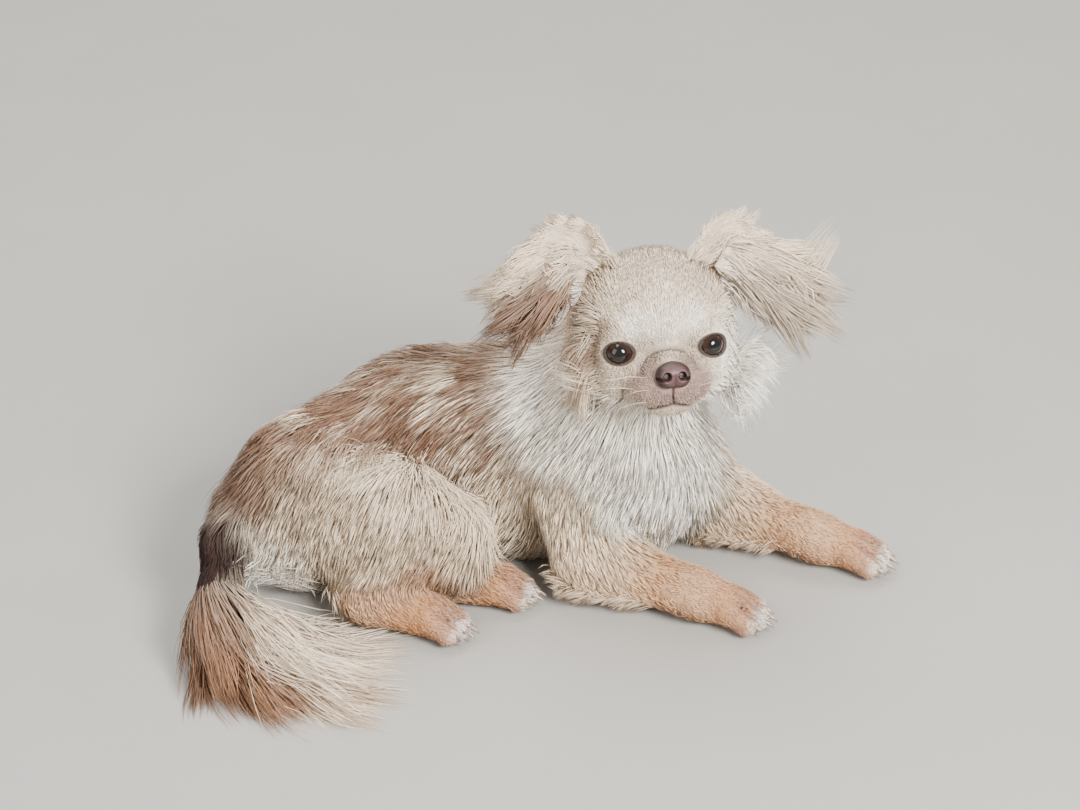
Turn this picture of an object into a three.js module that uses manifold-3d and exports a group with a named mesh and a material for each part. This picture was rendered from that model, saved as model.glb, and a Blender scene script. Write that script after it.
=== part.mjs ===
// A long-haired chihuahua lying on its belly, life size, in millimetres.
// X runs towards the head end, Y towards the dog's left, Z up from the floor that it lies on.
// The trunk lies along X, the head is turned to the dog's right, and both hind feet come out on that side.
// Each part of the body is a rounded skin drawn round a line inside it, with the locks of its long coat joined on.
import * as THREE from "three";
import { mergeVertices } from "three/addons/utils/BufferGeometryUtils.js";
import Module from "manifold-3d";

const wasm = await Module();
wasm.setup();

const at = (x, y, z) => new THREE.Vector3(x, y, z);
const GAP = 0.35; // left between touching parts
const UP = at(0, 0, 1);

// Driving sizes
const EYE_RADIUS = 9.5;
const EYE_SPACING = 49;
const EAR_WIDTH = 36;
const EAR_THICK = 3;
const LOCK_THICK = 3.2;
const BLEND = 16; // how widely one mass of flesh runs into the next

// Colours
const CREAM = 0xd9c9b4;
const TAN = 0xb98d62;
const SABLE = 0x8a6248;
const WHITE = 0xf1eee8;
const EYE_BROWN = 0x1d0f0a;
const NOSE_PINK = 0x8d7478;

// Where the joints of the pose are
const SPINE = [at(-114, 12, 50), at(-84, 42, 58), at(-40, 58, 66), at(8, 54, 72), at(50, 38, 74), at(80, 18, 68)];
const NECK_LINE = [at(58, 36, 92), at(70, 24, 116), at(80, 14, 138)];
const SKULL = at(88, 0, 166);
const HEAD_YAW = -80; // degrees from +X towards +Y, so the face looks towards -Y
const HEAD_PITCH = 19;
const HEAD_ROLL = -3;
const TAIL_LINE = [
  at(-138, 16, 56),
  at(-152, 4, 55),
  at(-160, -18, 46),
  at(-163, -42, 30),
  at(-160, -62, 17),
  at(-150, -80, 12),
  at(-134, -94, 9),
];
const FRONT_RIGHT = { shoulder: at(40, 4, 62), elbow: at(48, -20, 25), wrist: at(104, -49, 17), toe: at(130, -60, 12) };
const FRONT_LEFT = { shoulder: at(98, 38, 58), elbow: at(124, 32, 25), wrist: at(177, 2, 17), toe: at(204, -9, 12) };
const REAR_RIGHT = {
  hip: at(-98, 4, 62),
  knee: at(-32, -12, 40),
  hock: at(-80, -38, 17),
  toe: at(-38, -56, 12),
};
const REAR_LEFT = { hip: at(-100, 54, 42), knee: at(-44, 62, 24), hock: at(-50, -16, 17), toe: at(0, -26, 12) };

// A repeatable draw of numbers from 0 to 1
function draws(seed) {
  let s = seed;
  return () => {
    s = (s * 16807) % 2147483647;
    return s / 2147483647;
  };
}

// Masses of flesh, each as a distance from its surface: negative inside
const limb = (a, ra, b, rb) => {
  const ab = b.clone().sub(a);
  return (p) => {
    const t = THREE.MathUtils.clamp(p.clone().sub(a).dot(ab) / ab.lengthSq(), 0, 1);
    return p.distanceTo(a.clone().addScaledVector(ab, t)) - THREE.MathUtils.lerp(ra, rb, t);
  };
};

const lump = (centre, radii) => (p) => {
  const q = p.clone().sub(centre);
  const scaled = q.clone().divide(radii);
  const steep = scaled.clone().divide(radii).length();
  const size = scaled.length();
  return steep < 1e-9 ? -Math.min(radii.x, radii.y, radii.z) : (size * (size - 1)) / steep;
};

const merge = (masses, width = BLEND) => (p) =>
  masses
    .map((m) => m(p))
    .reduce((a, b) => {
      const near = Math.max(width - Math.abs(a - b), 0) / width;
      return Math.min(a, b) - (near * near * width) / 4;
    });

function outward(field, p) {
  const step = 0.5;
  const slope = (axis) =>
    field(p.clone().addScaledVector(axis, step)) - field(p.clone().addScaledVector(axis, -step));
  return at(slope(at(1, 0, 0)), slope(at(0, 1, 0)), slope(UP)).normalize();
}

// The first place along a ray from inside the flesh where it leaves the surface
function surfaceAlong(field, from, direction, reach = 110) {
  const here = (t) => from.clone().addScaledVector(direction, t);
  const step = 3;
  let far = step;
  while (far < reach && field(here(far)) < 0) far += step;
  let near = far - step;
  for (let i = 0; i < 12; i++) {
    const mid = (near + far) / 2;
    if (field(here(mid)) < 0) near = mid;
    else far = mid;
  }
  return here(Math.max(near, 0.4));
}

// A closed skin round a line inside the flesh: rings along the line, and a rounded fan at each end
function skin(field, line, rings, sides, fans = 4) {
  const curve = new THREE.CatmullRomCurve3(line);
  const rows = [];
  const row = (centre, tangent, tilt) => {
    const side = at(0, 0, 1).cross(tangent);
    if (side.lengthSq() < 1e-4) side.set(0, 1, 0);
    side.normalize();
    const top = tangent.clone().cross(side).normalize();
    const points = [];
    for (let j = 0; j < sides; j++) {
      const a = (j / sides) * Math.PI * 2;
      const ray = side
        .clone()
        .multiplyScalar(Math.cos(a))
        .addScaledVector(top, Math.sin(a))
        .multiplyScalar(Math.cos(tilt))
        .addScaledVector(tangent, Math.sin(tilt));
      points.push(surfaceAlong(field, centre, ray));
    }
    rows.push(points);
  };
  const first = curve.getPointAt(0);
  const last = curve.getPointAt(1);
  const startAlong = curve.getTangentAt(0);
  const endAlong = curve.getTangentAt(1);
  const quarter = Math.PI / 2;
  for (let i = 1; i < fans; i++) row(first, startAlong, -quarter * (1 - i / fans));
  for (let i = 0; i <= rings; i++) row(curve.getPointAt(i / rings), curve.getTangentAt(i / rings), 0);
  for (let i = 1; i < fans; i++) row(last, endAlong, (quarter * i) / fans);
  const poles = [
    surfaceAlong(field, first, startAlong.clone().negate()),
    surfaceAlong(field, last, endAlong),
  ];
  return closedRows(rows, poles);
}

// Joins rows of points, each a closed loop, into a closed surface that ends in a point at both ends
function closedRows(rows, poles) {
  const sides = rows[0].length;
  const flat = rows.flat().concat(poles);
  const faces = [];
  const south = flat.length - 2;
  const north = flat.length - 1;
  const top = (rows.length - 1) * sides;
  for (let j = 0; j < sides; j++) {
    const k = (j + 1) % sides;
    faces.push(south, k, j);
    faces.push(north, top + j, top + k);
    for (let i = 0; i + 1 < rows.length; i++) {
      const a = i * sides;
      const b = a + sides;
      faces.push(a + j, a + k, b + k, a + j, b + k, b + j);
    }
  }
  const geometry = new THREE.BufferGeometry();
  geometry.setAttribute("position", new THREE.Float32BufferAttribute(flat.flatMap((p) => p.toArray()), 3));
  geometry.setIndex(faces);
  return geometry;
}

function solidFrom(geometry, matrix = new THREE.Matrix4()) {
  const plain = geometry.clone().applyMatrix4(matrix);
  plain.deleteAttribute("normal");
  plain.deleteAttribute("uv");
  const merged = mergeVertices(plain, 1e-3);
  const mesh = { numProp: 3, vertProperties: merged.attributes.position.array };
  const solid = new wasm.Manifold(new wasm.Mesh({ ...mesh, triVerts: new Uint32Array(merged.index.array) }));
  if (solid.volume() > 0) return solid;
  const turned = Uint32Array.from(merged.index.array);
  for (let i = 0; i < turned.length; i += 3) [turned[i], turned[i + 1]] = [turned[i + 1], turned[i]];
  return new wasm.Manifold(new wasm.Mesh({ ...mesh, triVerts: turned }));
}

// A flat lock of hair along a path: widest near its root, and tapering to a point
function lockSolid(path, normals, width, thick) {
  const rows = [];
  const count = path.length - 1;
  for (let i = 0; i < count; i++) {
    const along = path[i + 1].clone().sub(path[Math.max(i - 1, 0)]).normalize();
    const across = along.clone().cross(normals[i]).normalize();
    const proud = across.clone().cross(along).normalize();
    const s = i / count;
    const taper = Math.pow(1 - s, 0.7) * (0.75 + 0.9 * s * (1 - s));
    const half = (width / 2) * taper;
    const rise = (thick / 2) * (0.35 + 0.65 * (1 - s));
    rows.push([
      path[i].clone().addScaledVector(across, half),
      path[i].clone().addScaledVector(proud, rise),
      path[i].clone().addScaledVector(across, -half),
      path[i].clone().addScaledVector(proud, -rise),
    ]);
  }
  const middle = rows[0].reduce((a, b) => a.clone().add(b)).multiplyScalar(0.25);
  return solidFrom(closedRows(rows, [middle, path[count]]));
}

// Combs a lock over the flesh: it leaves its root, lies along the coat, and lifts a little towards its tip
function combed(field, root, lie, length, width, lift, grow = 0) {
  const steps = 4;
  const path = [];
  const normals = [];
  let p = root.clone();
  for (let i = 0; i <= steps; i++) {
    const s = i / steps;
    const out = outward(field, p);
    const height = -2.5 + (lift + 2.5) * Math.sin((Math.min(s * 1.5, 1) * Math.PI) / 2);
    p = p.clone().addScaledVector(out, height - field(p));
    path.push(p);
    normals.push(out);
    const way = lie(p).clone().addScaledVector(out, -lie(p).dot(out)).normalize();
    p = p.clone().addScaledVector(way, length / steps);
  }
  return lockSolid(path, normals, width + 2 * grow, LOCK_THICK + 2 * grow);
}

// Hangs a lock free of the flesh: it sets out one way and bends the other
function hung(root, out, pull, length, width, flat, grow = 0) {
  const steps = 4;
  const path = [root.clone()];
  const way = out.clone().normalize();
  for (let i = 0; i < steps; i++) {
    way.addScaledVector(pull, 1 / steps).normalize();
    path.push(path[i].clone().addScaledVector(way, length / steps));
  }
  for (const p of path) p.z = Math.max(p.z, LOCK_THICK / 2);
  return lockSolid(path, path.map(() => flat), width + 2 * grow, LOCK_THICK + 2 * grow);
}

function joined(solids) {
  return solids.reduce((a, b) => a.add(b));
}

function largest(solid) {
  return solid.decompose().reduce((a, b) => (a.volume() >= b.volume() ? a : b));
}

const floorBlock = solidFrom(
  new THREE.BoxGeometry(900, 900, 100),
  new THREE.Matrix4().makeTranslation(0, 0, -50),
);

// The masses of flesh
const torsoField = merge([
  lump(at(-112, 14, 49), at(47, 44, 48)),
  limb(at(-100, 28, 54), 45, at(-45, 56, 64), 48),
  limb(at(-45, 56, 64), 48, at(30, 50, 74), 51),
  lump(at(76, 22, 64), at(44, 44, 56)),
  limb(at(-64, 44, 31), 34, at(56, 32, 31), 34),
]);
const neckField = merge([limb(NECK_LINE[0], 46, NECK_LINE[2], 37)]);
const armField = (leg) =>
  merge([limb(leg.shoulder, 28, leg.elbow, 21), limb(leg.elbow, 19, leg.elbow.clone().lerp(leg.wrist, 0.3), 17)]);
const forearmField = (leg) => merge([limb(leg.elbow, 19, leg.wrist, 14)]);
const pawField = (joint, toe, spread = 6.5) => {
  const along = toe.clone().sub(joint).setZ(0).normalize();
  const across = along.clone().cross(UP);
  const toes = [-1.5, -0.5, 0.5, 1.5].map((k) => {
    const ahead = 12 - Math.abs(k) * 4;
    const tip = toe.clone().addScaledVector(across, k * spread).addScaledVector(along, ahead).setZ(8);
    const knuckle = toe.clone().addScaledVector(across, k * spread * 0.75).addScaledVector(along, -6).setZ(14);
    return limb(knuckle, 7, tip, 6.8);
  });
  return merge([limb(joint, 13.5, toe.clone().addScaledVector(along, -4), 12), merge(toes, 2)], 5);
};
const thighRightField = merge([
  limb(REAR_RIGHT.hip, 34, REAR_RIGHT.knee, 25),
  lump(at(-72, -12, 50), at(42, 30, 42)),
]);
const shankRightField = merge([limb(REAR_RIGHT.knee.clone().lerp(REAR_RIGHT.hock, 0.3), 22, REAR_RIGHT.hock, 14)]);
const thighLeftField = merge([limb(REAR_LEFT.hip, 36, REAR_LEFT.knee, 22)]);
const tailRadii = [14, 14, 14, 13, 11, 9, 6];
const tailField = merge(
  TAIL_LINE.slice(1).map((p, i) => limb(TAIL_LINE[i], tailRadii[i], p, tailRadii[i + 1])),
  8,
);

// The head in its own frame: X out of the face, Y to the dog's left, Z to the crown
const headFrame = new THREE.Matrix4()
  .makeTranslation(SKULL.x, SKULL.y, SKULL.z)
  .multiply(new THREE.Matrix4().makeRotationZ(THREE.MathUtils.degToRad(HEAD_YAW)))
  .multiply(new THREE.Matrix4().makeRotationY(THREE.MathUtils.degToRad(-HEAD_PITCH)))
  .multiply(new THREE.Matrix4().makeRotationX(THREE.MathUtils.degToRad(HEAD_ROLL)));
const onHead = (x, y, z) => at(x, y, z).applyMatrix4(headFrame);
const headTurn = new THREE.Matrix4().extractRotation(headFrame);
const headWay = (x, y, z) => at(x, y, z).applyMatrix4(headTurn).normalize();
const intoHead = headFrame.clone().invert();
const EYE_AT = { x: 25.5, z: -9 };
const NOSE_AT = { x: 46, z: -20 };
const lidRim = (side) => lump(at(EYE_AT.x, (side * EYE_SPACING) / 2, EYE_AT.z), at(11.4, 12, 11.6));
const headFieldLocal = merge(
  [
    lump(at(-3, 0, 3), at(39, 40, 37)),
    lump(at(12, 0, 8), at(26, 30, 27)),
    lump(at(6, 23, -20), at(26, 17, 20)),
    lump(at(6, -23, -20), at(26, 17, 20)),
    limb(at(16, 0, -24), 19, at(33, 0, -25), 14),
    lump(at(33, 11, -29), at(13, 13, 11)),
    lump(at(33, -11, -29), at(13, 13, 11)),
    lump(at(30, 0, -39), at(12, 13, 8)),
    lidRim(1),
    lidRim(-1),
  ],
  8,
);
const eyeCentre = (side) => at(EYE_AT.x, (side * EYE_SPACING) / 2, EYE_AT.z);
const headField = (p) => headFieldLocal(p.clone().applyMatrix4(intoHead));

// What is cut from the head: the opening between each pair of lids, and the line of the mouth
function lidOpening(side) {
  const hole = new THREE.SphereGeometry(1, 12, 6);
  const place = headFrame
    .clone()
    .multiply(new THREE.Matrix4().setPosition(eyeCentre(side)))
    .multiply(new THREE.Matrix4().makeRotationZ(side * 0.42))
    .multiply(new THREE.Matrix4().makeTranslation(9, 0, 0))
    .multiply(new THREE.Matrix4().makeScale(9, 7.8, 7));
  return solidFrom(hole, place);
}

function mouthLine(side) {
  const points = [at(49, 0, -33), at(47, side * 5, -36.5), at(42, side * 12, -38.5), at(33, side * 19.5, -38), at(26, side * 24, -34)];
  const path = points.map((p) => p.applyMatrix4(headFrame));
  return lockSolid(path, path.map(() => headWay(1, side * 0.5, 0)), 2.6, 6);
}

// An ear: a thin leaf of leather, cupped towards the front and folding over at its top
function earSolid(side, grow = 0) {
  const base = onHead(-2, side * 31, 26);
  const fold = onHead(-2, side * 47, side > 0 ? 43 : 50);
  const tip = side > 0 ? onHead(8, 82, 10) : onHead(8, -84, 24);
  const line = new THREE.CatmullRomCurve3([base, base.clone().lerp(fold, 0.55), fold, fold.clone().lerp(tip, 0.5), tip]);
  const rings = 7;
  const half = 3;
  const rows = [];
  for (let i = 0; i <= rings; i++) {
    const t = i / rings;
    const centre = line.getPointAt(t * 0.985);
    const along = line.getTangentAt(t);
    const face = headWay(1, side * 0.25, 0);
    const across = along.clone().cross(face).normalize();
    const front = across.clone().cross(along).normalize();
    const width = (EAR_WIDTH / 2) * Math.sqrt(Math.max(0.02, 1 - Math.pow(Math.abs(t - 0.35) / 0.68, 2.4))) + grow;
    const cup = 9 * (1 - t) + 2.5;
    const leaf = (s, offset) =>
      centre
        .clone()
        .addScaledVector(across, s * width)
        .addScaledVector(front, cup * s * s - cup * 0.5 + offset);
    const points = [];
    for (let k = -half; k <= half; k++) points.push(leaf(k / half, EAR_THICK / 2 + grow));
    for (let k = half; k >= -half; k--) points.push(leaf((k / half) * 0.97, -EAR_THICK / 2 - grow));
    rows.push(points);
  }
  const middleOf = (points) => points.reduce((a, b) => a.clone().add(b)).multiplyScalar(1 / points.length);
  return solidFrom(closedRows(rows, [middleOf(rows[0]), middleOf(rows[rings])]));
}

function earLocks(side, grow = 0) {
  const random = draws(side > 0 ? 31 : 77);
  const fold = [-2, side * 47, side > 0 ? 42 : 48];
  const tip = side > 0 ? [8, 82, 10] : [8, -84, 24];
  const locks = [];
  const count = 5;
  for (let i = 0; i < count; i++) {
    const t = i / (count - 1);
    const mix = (k) => THREE.MathUtils.lerp(fold[k], tip[k], t * 0.85);
    const root = onHead(mix(0), mix(1), mix(2) + 8 - t * 4);
    const out = headWay(0.1 - random() * 0.3, side * (0.9 + 0.3 * t), 0.55 - t * 1.0);
    const pull = headWay(0, side * 0.3, -1).multiplyScalar(0.5);
    locks.push(hung(root, out, pull, 34 + 10 * random(), 12, headWay(1, 0, 0), grow));
    const low = onHead(mix(0) + 2, mix(1) - side * 8, mix(2) - 8 + t * 6);
    const down = headWay(0.1, side * (0.25 + 0.5 * t), -1);
    locks.push(hung(low, down, pull, 24 + 10 * random(), 10, headWay(1, 0, 0), grow));
  }
  return locks;
}

// Locks set over a skin in rows, combed along the lie of the coat
function coat(field, line, { from, to, rows, around, arc, length, width, lift, lie, seed, grow = 0 }) {
  const random = draws(seed);
  const curve = new THREE.CatmullRomCurve3(line);
  const locks = [];
  for (let i = 0; i < rows; i++) {
    for (let j = 0; j < around; j++) {
      const t = THREE.MathUtils.lerp(from, to, (i + 0.5 * (j % 2) + 0.3 * random()) / rows);
      const share = (j + 0.25 + 0.5 * random()) / around;
      const angle = THREE.MathUtils.degToRad(THREE.MathUtils.lerp(arc[0], arc[1], share));
      const centre = curve.getPointAt(THREE.MathUtils.clamp(t, 0, 1));
      const tangent = curve.getTangentAt(THREE.MathUtils.clamp(t, 0, 1));
      const side = UP.clone().cross(tangent).normalize();
      const top = tangent.clone().cross(side).normalize();
      const ray = side.multiplyScalar(Math.cos(angle)).addScaledVector(top, Math.sin(angle));
      const root = surfaceAlong(field, centre, ray);
      const long = length * (0.8 + 0.4 * random());
      locks.push(combed(field, root, lie, long, width * (0.85 + 0.3 * random()), lift, grow));
    }
  }
  return locks;
}

const backAndDown = () => at(-0.8, -0.1, -0.75);
const ruffLie = (p) => at((p.x - 84) * 0.012, (p.y - 6) * 0.012, -1).normalize();

function torsoLocks(grow) {
  const side = { rows: 3, around: 3, length: 60, width: 28, lift: 5.6, lie: backAndDown, grow };
  return [
    ...coat(torsoField, SPINE, { ...side, from: 0.0, to: 0.8, arc: [100, 225], seed: 5 }),
    ...coat(torsoField, SPINE, { ...side, from: 0.0, to: 0.8, arc: [-40, 85], seed: 9 }),
    ...coat(torsoField, SPINE, {
      ...side,
      from: 0.9,
      to: 1.0,
      rows: 2,
      around: 3,
      arc: [-20, 200],
      length: 44,
      lie: () => at(0.05, -0.1, -1),
      seed: 15,
    }),
  ];
}

function ruffLocks(grow) {
  return coat(neckField, NECK_LINE, {
    from: 0.35,
    to: 0.95,
    rows: 2,
    around: 8,
    arc: [0, 320],
    length: 44,
    width: 25,
    lift: 7,
    lie: ruffLie,
    seed: 21,
    grow,
  });
}

function cheekLocks(grow) {
  const random = draws(44);
  const locks = [];
  for (const side of [-1, 1]) {
    for (let i = 0; i < 5; i++) {
      const t = i / 4;
      const root = onHead(2 - 6 * t, side * (33 - 4 * t), 4 - 34 * t);
      const out = headWay(-0.15, side * (1.1 - 0.2 * t), -0.35 - 0.5 * t);
      const pull = headWay(0, 0, -1).multiplyScalar(0.5);
      const long = (side > 0 ? 34 : 26) + 10 * t + 8 * random();
      locks.push(hung(root, out, pull, long, 13, headWay(1, 0, 0), grow));
    }
  }
  return locks;
}

function tailLocks(grow) {
  const random = draws(63);
  const curve = new THREE.CatmullRomCurve3(TAIL_LINE);
  const locks = [];
  const count = 6;
  for (let i = 0; i < count; i++) {
    const s = i / (count - 1);
    const t = 0.45 + 0.53 * s;
    const root = curve.getPointAt(t);
    const fan = at(0.96, -0.12 - 0.1 * random(), -0.05).lerp(at(0.62, -0.78, 0), s);
    const long = THREE.MathUtils.lerp(92, 62, s) + 12 * random();
    for (const level of [0.45, -0.25]) {
      const start = root.clone().addScaledVector(UP, level * 10);
      const pull = at(0.1, -0.45 - 0.2 * random(), -0.5 * level - 0.1);
      locks.push(hung(start, fan, pull, long * (1 - 0.15 * level), 16, UP, grow));
    }
  }
  return locks;
}

function featherLocks(leg, seed, grow) {
  const random = draws(seed);
  const along = leg.wrist.clone().sub(leg.elbow);
  const behind = along.clone().normalize().negate();
  const locks = [];
  for (let i = 0; i < 5; i++) {
    const t = i / 5;
    const root = leg.elbow.clone().addScaledVector(along, t * 0.75).setZ(12 - 4 * t);
    const out = behind.clone().add(at(0.35 - 0.2 * random(), -0.9, -0.25));
    locks.push(hung(root, out, at(0, 0, -0.3), 26 - 6 * t + 6 * random(), 11, UP, grow));
  }
  return locks;
}

function thighLocks(grow) {
  return coat(thighRightField, [REAR_RIGHT.hip, REAR_RIGHT.knee], {
    from: 0,
    to: 0.9,
    rows: 2,
    around: 3,
    arc: [100, 215],
    length: 40,
    width: 22,
    lift: 5.2,
    lie: () => at(-0.35, -0.2, -1),
    seed: 71,
    grow,
  });
}

// The parts. Each is made plain, and again a little fatter for cutting its neighbours clear of it
const grown = (field, grow) => (p) => field(p) - grow;
const elbowToWrist = (leg) => [leg.elbow.clone().lerp(leg.wrist, 0.05), leg.wrist];
const pawLine = (joint, toe) => [joint.clone(), toe.clone().setZ(11)];

const recipes = [
  { name: "eye_right", colour: EYE_BROWN, make: (g) => [eyeball(-1, g)] },
  { name: "eye_left", colour: EYE_BROWN, make: (g) => [eyeball(1, g)] },
  { name: "nose", colour: NOSE_PINK, make: (g) => [noseSolid(g)] },
  {
    name: "head",
    colour: CREAM,
    make: (g) => [headSkin(g), ...cheekLocks(g)],
    cuts: () => [lidOpening(1), lidOpening(-1), mouthLine(1), mouthLine(-1)],
  },
  { name: "ear_right", colour: CREAM, make: (g) => [earSolid(-1, g), ...earLocks(-1, g)] },
  { name: "ear_left", colour: CREAM, make: (g) => [earSolid(1, g), ...earLocks(1, g)] },
  {
    name: "rear_right_thigh",
    colour: CREAM,
    make: (g) => [solidFrom(skin(grown(thighRightField, g), [at(-92, -4, 56), REAR_RIGHT.knee], 7, 16)), ...thighLocks(g)],
  },
  {
    name: "rear_left_thigh",
    colour: CREAM,
    make: (g) => [solidFrom(skin(grown(thighLeftField, g), [REAR_LEFT.hip, REAR_LEFT.knee], 6, 14))],
  },
  {
    name: "rear_right_shank",
    colour: TAN,
    make: (g) => [
      solidFrom(
        skin(grown(shankRightField, g), [REAR_RIGHT.knee.clone().lerp(REAR_RIGHT.hock, 0.3), REAR_RIGHT.hock], 5, 12),
      ),
    ],
  },
  ...["right", "left"].flatMap((word) => {
    const leg = word === "right" ? FRONT_RIGHT : FRONT_LEFT;
    const rear = word === "right" ? REAR_RIGHT : REAR_LEFT;
    return [
      {
        name: `front_${word}_paw`,
        colour: TAN,
        make: (g) => [solidFrom(skin(grown(pawField(leg.wrist, leg.toe), g), pawLine(leg.wrist, leg.toe), 5, 16))],
      },
      {
        name: `front_${word}_upper_arm`,
        colour: CREAM,
        make: (g) => [solidFrom(skin(grown(armField(leg), g), [leg.shoulder, leg.elbow], 5, 14))],
      },
      {
        name: `front_${word}_forearm`,
        colour: TAN,
        make: (g) => [
          solidFrom(skin(grown(forearmField(leg), g), elbowToWrist(leg), 6, 12)),
          ...featherLocks(leg, word === "right" ? 81 : 92, g),
        ],
      },
      {
        name: `rear_${word}_foot`,
        colour: TAN,
        make: (g) => [solidFrom(skin(grown(pawField(rear.hock, rear.toe, 5.6), g), pawLine(rear.hock, rear.toe), 6, 16))],
      },
    ];
  }),
  { name: "torso", colour: SABLE, make: (g) => [solidFrom(skin(grown(torsoField, g), SPINE, 11, 16)), ...torsoLocks(g)] },
  { name: "neck", colour: WHITE, make: (g) => [solidFrom(skin(grown(neckField, g), NECK_LINE, 5, 16)), ...ruffLocks(g)] },
  { name: "tail", colour: SABLE, make: (g) => [solidFrom(skin(grown(tailField, g), TAIL_LINE, 12, 10, 3)), ...tailLocks(g)] },
];

function eyeball(side, grow) {
  const ball = new THREE.SphereGeometry(EYE_RADIUS + grow, 12, 8);
  return solidFrom(ball, headFrame.clone().multiply(new THREE.Matrix4().setPosition(eyeCentre(side))));
}

function headSkin(grow) {
  return solidFrom(skin(grown(headField, grow), [onHead(-8, 0, 2), onHead(24, 0, -24)], 7, 24, 6));
}

function noseSolid(grow) {
  const pad = merge(
    [
      lump(at(NOSE_AT.x, 0, NOSE_AT.z), at(7.5, 10, 7)),
      lump(at(NOSE_AT.x + 1, 5, NOSE_AT.z - 1.5), at(7, 5, 5)),
      lump(at(NOSE_AT.x + 1, -5, NOSE_AT.z - 1.5), at(7, 5, 5)),
    ],
    3,
  );
  const line = [at(NOSE_AT.x - 1, -3, NOSE_AT.z), at(NOSE_AT.x - 1, 3, NOSE_AT.z)];
  const body = solidFrom(skin(grown(pad, grow), line, 2, 12, 4), headFrame);
  if (grow > 0) return body;
  const nostril = (side) => {
    const hole = new THREE.CylinderGeometry(1.9, 1.5, 8, 10);
    const place = headFrame
      .clone()
      .multiply(new THREE.Matrix4().setPosition(at(NOSE_AT.x + 7, side * 4.6, NOSE_AT.z - 0.8)))
      .multiply(new THREE.Matrix4().makeRotationZ(-Math.PI / 2 + side * 0.35));
    return solidFrom(hole, place);
  };
  return body.subtract(nostril(1)).subtract(nostril(-1));
}

// The whole dog stands on the floor with the middle of its length and width at the origin
const dog = new THREE.Group();
const placed = [];
for (const recipe of recipes) {
  let solid = joined(recipe.make(0)).subtract(floorBlock);
  for (const cut of recipe.cuts ? recipe.cuts() : []) solid = solid.subtract(cut);
  for (const other of placed) solid = solid.subtract(other);
  solid = largest(solid);
  placed.push(joined(recipe.make(GAP)));
  const { vertProperties, triVerts, numProp } = solid.getMesh();
  const geometry = new THREE.BufferGeometry();
  const points = new THREE.InterleavedBuffer(vertProperties, numProp);
  geometry.setAttribute("position", new THREE.InterleavedBufferAttribute(points, 3, 0));
  geometry.setIndex([...triVerts]);
  const mesh = new THREE.Mesh(
    geometry.toNonIndexed(),
    new THREE.MeshStandardMaterial({ color: recipe.colour, roughness: 0.85, metalness: 0 }),
  );
  mesh.name = recipe.name;
  dog.add(mesh);
}

const box = new THREE.Box3().setFromObject(dog);
const middle = box.getCenter(at(0, 0, 0)).setZ(box.min.z);
for (const mesh of dog.children) mesh.position.sub(middle);

export default dog;
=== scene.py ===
"""A long-haired chihuahua lying on the floor: its skin, eyes, nose, claws and long coat.

Lengths are in metres. +X runs towards the head end, +Y towards the dog's left and +Z up.
The pose is given in the modelling frame, and place() brings it to the frame of the solids.
"""

import math

import bpy
import numpy as np
from mathutils import Matrix, Vector
from mathutils.kdtree import KDTree


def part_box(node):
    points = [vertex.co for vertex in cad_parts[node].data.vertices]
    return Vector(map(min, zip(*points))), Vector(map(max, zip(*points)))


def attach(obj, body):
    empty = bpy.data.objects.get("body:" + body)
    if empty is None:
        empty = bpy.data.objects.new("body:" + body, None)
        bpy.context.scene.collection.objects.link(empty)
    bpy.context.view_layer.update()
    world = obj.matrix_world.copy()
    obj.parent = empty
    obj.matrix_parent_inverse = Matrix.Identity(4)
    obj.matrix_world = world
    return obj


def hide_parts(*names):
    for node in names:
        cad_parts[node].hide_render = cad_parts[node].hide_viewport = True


bl_info = {
    "name": "Long-haired chihuahua",
    "version": (1, 0, 0),
    "blender": (4, 5, 0),
    "location": "View3D > Sidebar > Dog",
    "description": "Builds a life-size lying dog with a modelled coat",
    "category": "Add Mesh",
}

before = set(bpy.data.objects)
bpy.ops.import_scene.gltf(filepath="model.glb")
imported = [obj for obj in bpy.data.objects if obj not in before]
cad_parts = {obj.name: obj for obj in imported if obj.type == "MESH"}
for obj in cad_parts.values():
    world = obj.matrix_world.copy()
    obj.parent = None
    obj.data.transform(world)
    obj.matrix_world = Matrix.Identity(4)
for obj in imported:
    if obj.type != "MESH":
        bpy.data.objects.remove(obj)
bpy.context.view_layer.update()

# The head's own axes: X out of the face, Y to the dog's left, Z to the crown
HEAD_YAW = math.radians(-80)
HEAD_PITCH = math.radians(19)
HEAD_ROLL = math.radians(-3)
HEAD_TURN = np.array(
    Matrix.Rotation(HEAD_YAW, 3, "Z")
    @ Matrix.Rotation(-HEAD_PITCH, 3, "Y")
    @ Matrix.Rotation(HEAD_ROLL, 3, "X")
)
SKULL_IN_MODEL = np.array((0.088, 0.0, 0.166))
EYE_ON_HEAD = np.array((0.0255, 0.0245, -0.009))

# The eye's solid says how far the modelling frame lies from the frame of the solids
_low, _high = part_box("eye_left")
MODEL_TO_FRAME = np.array((_low + _high) / 2) - (SKULL_IN_MODEL + HEAD_TURN @ EYE_ON_HEAD)
MODEL_TO_FRAME[2] = 0.0


def place(x, y, z):
    """A point of the modelling frame, in the frame of the solids."""
    return np.array((x, y, z)) + MODEL_TO_FRAME


SKULL = place(*SKULL_IN_MODEL)
UP = np.array((0.0, 0.0, 1.0))

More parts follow.
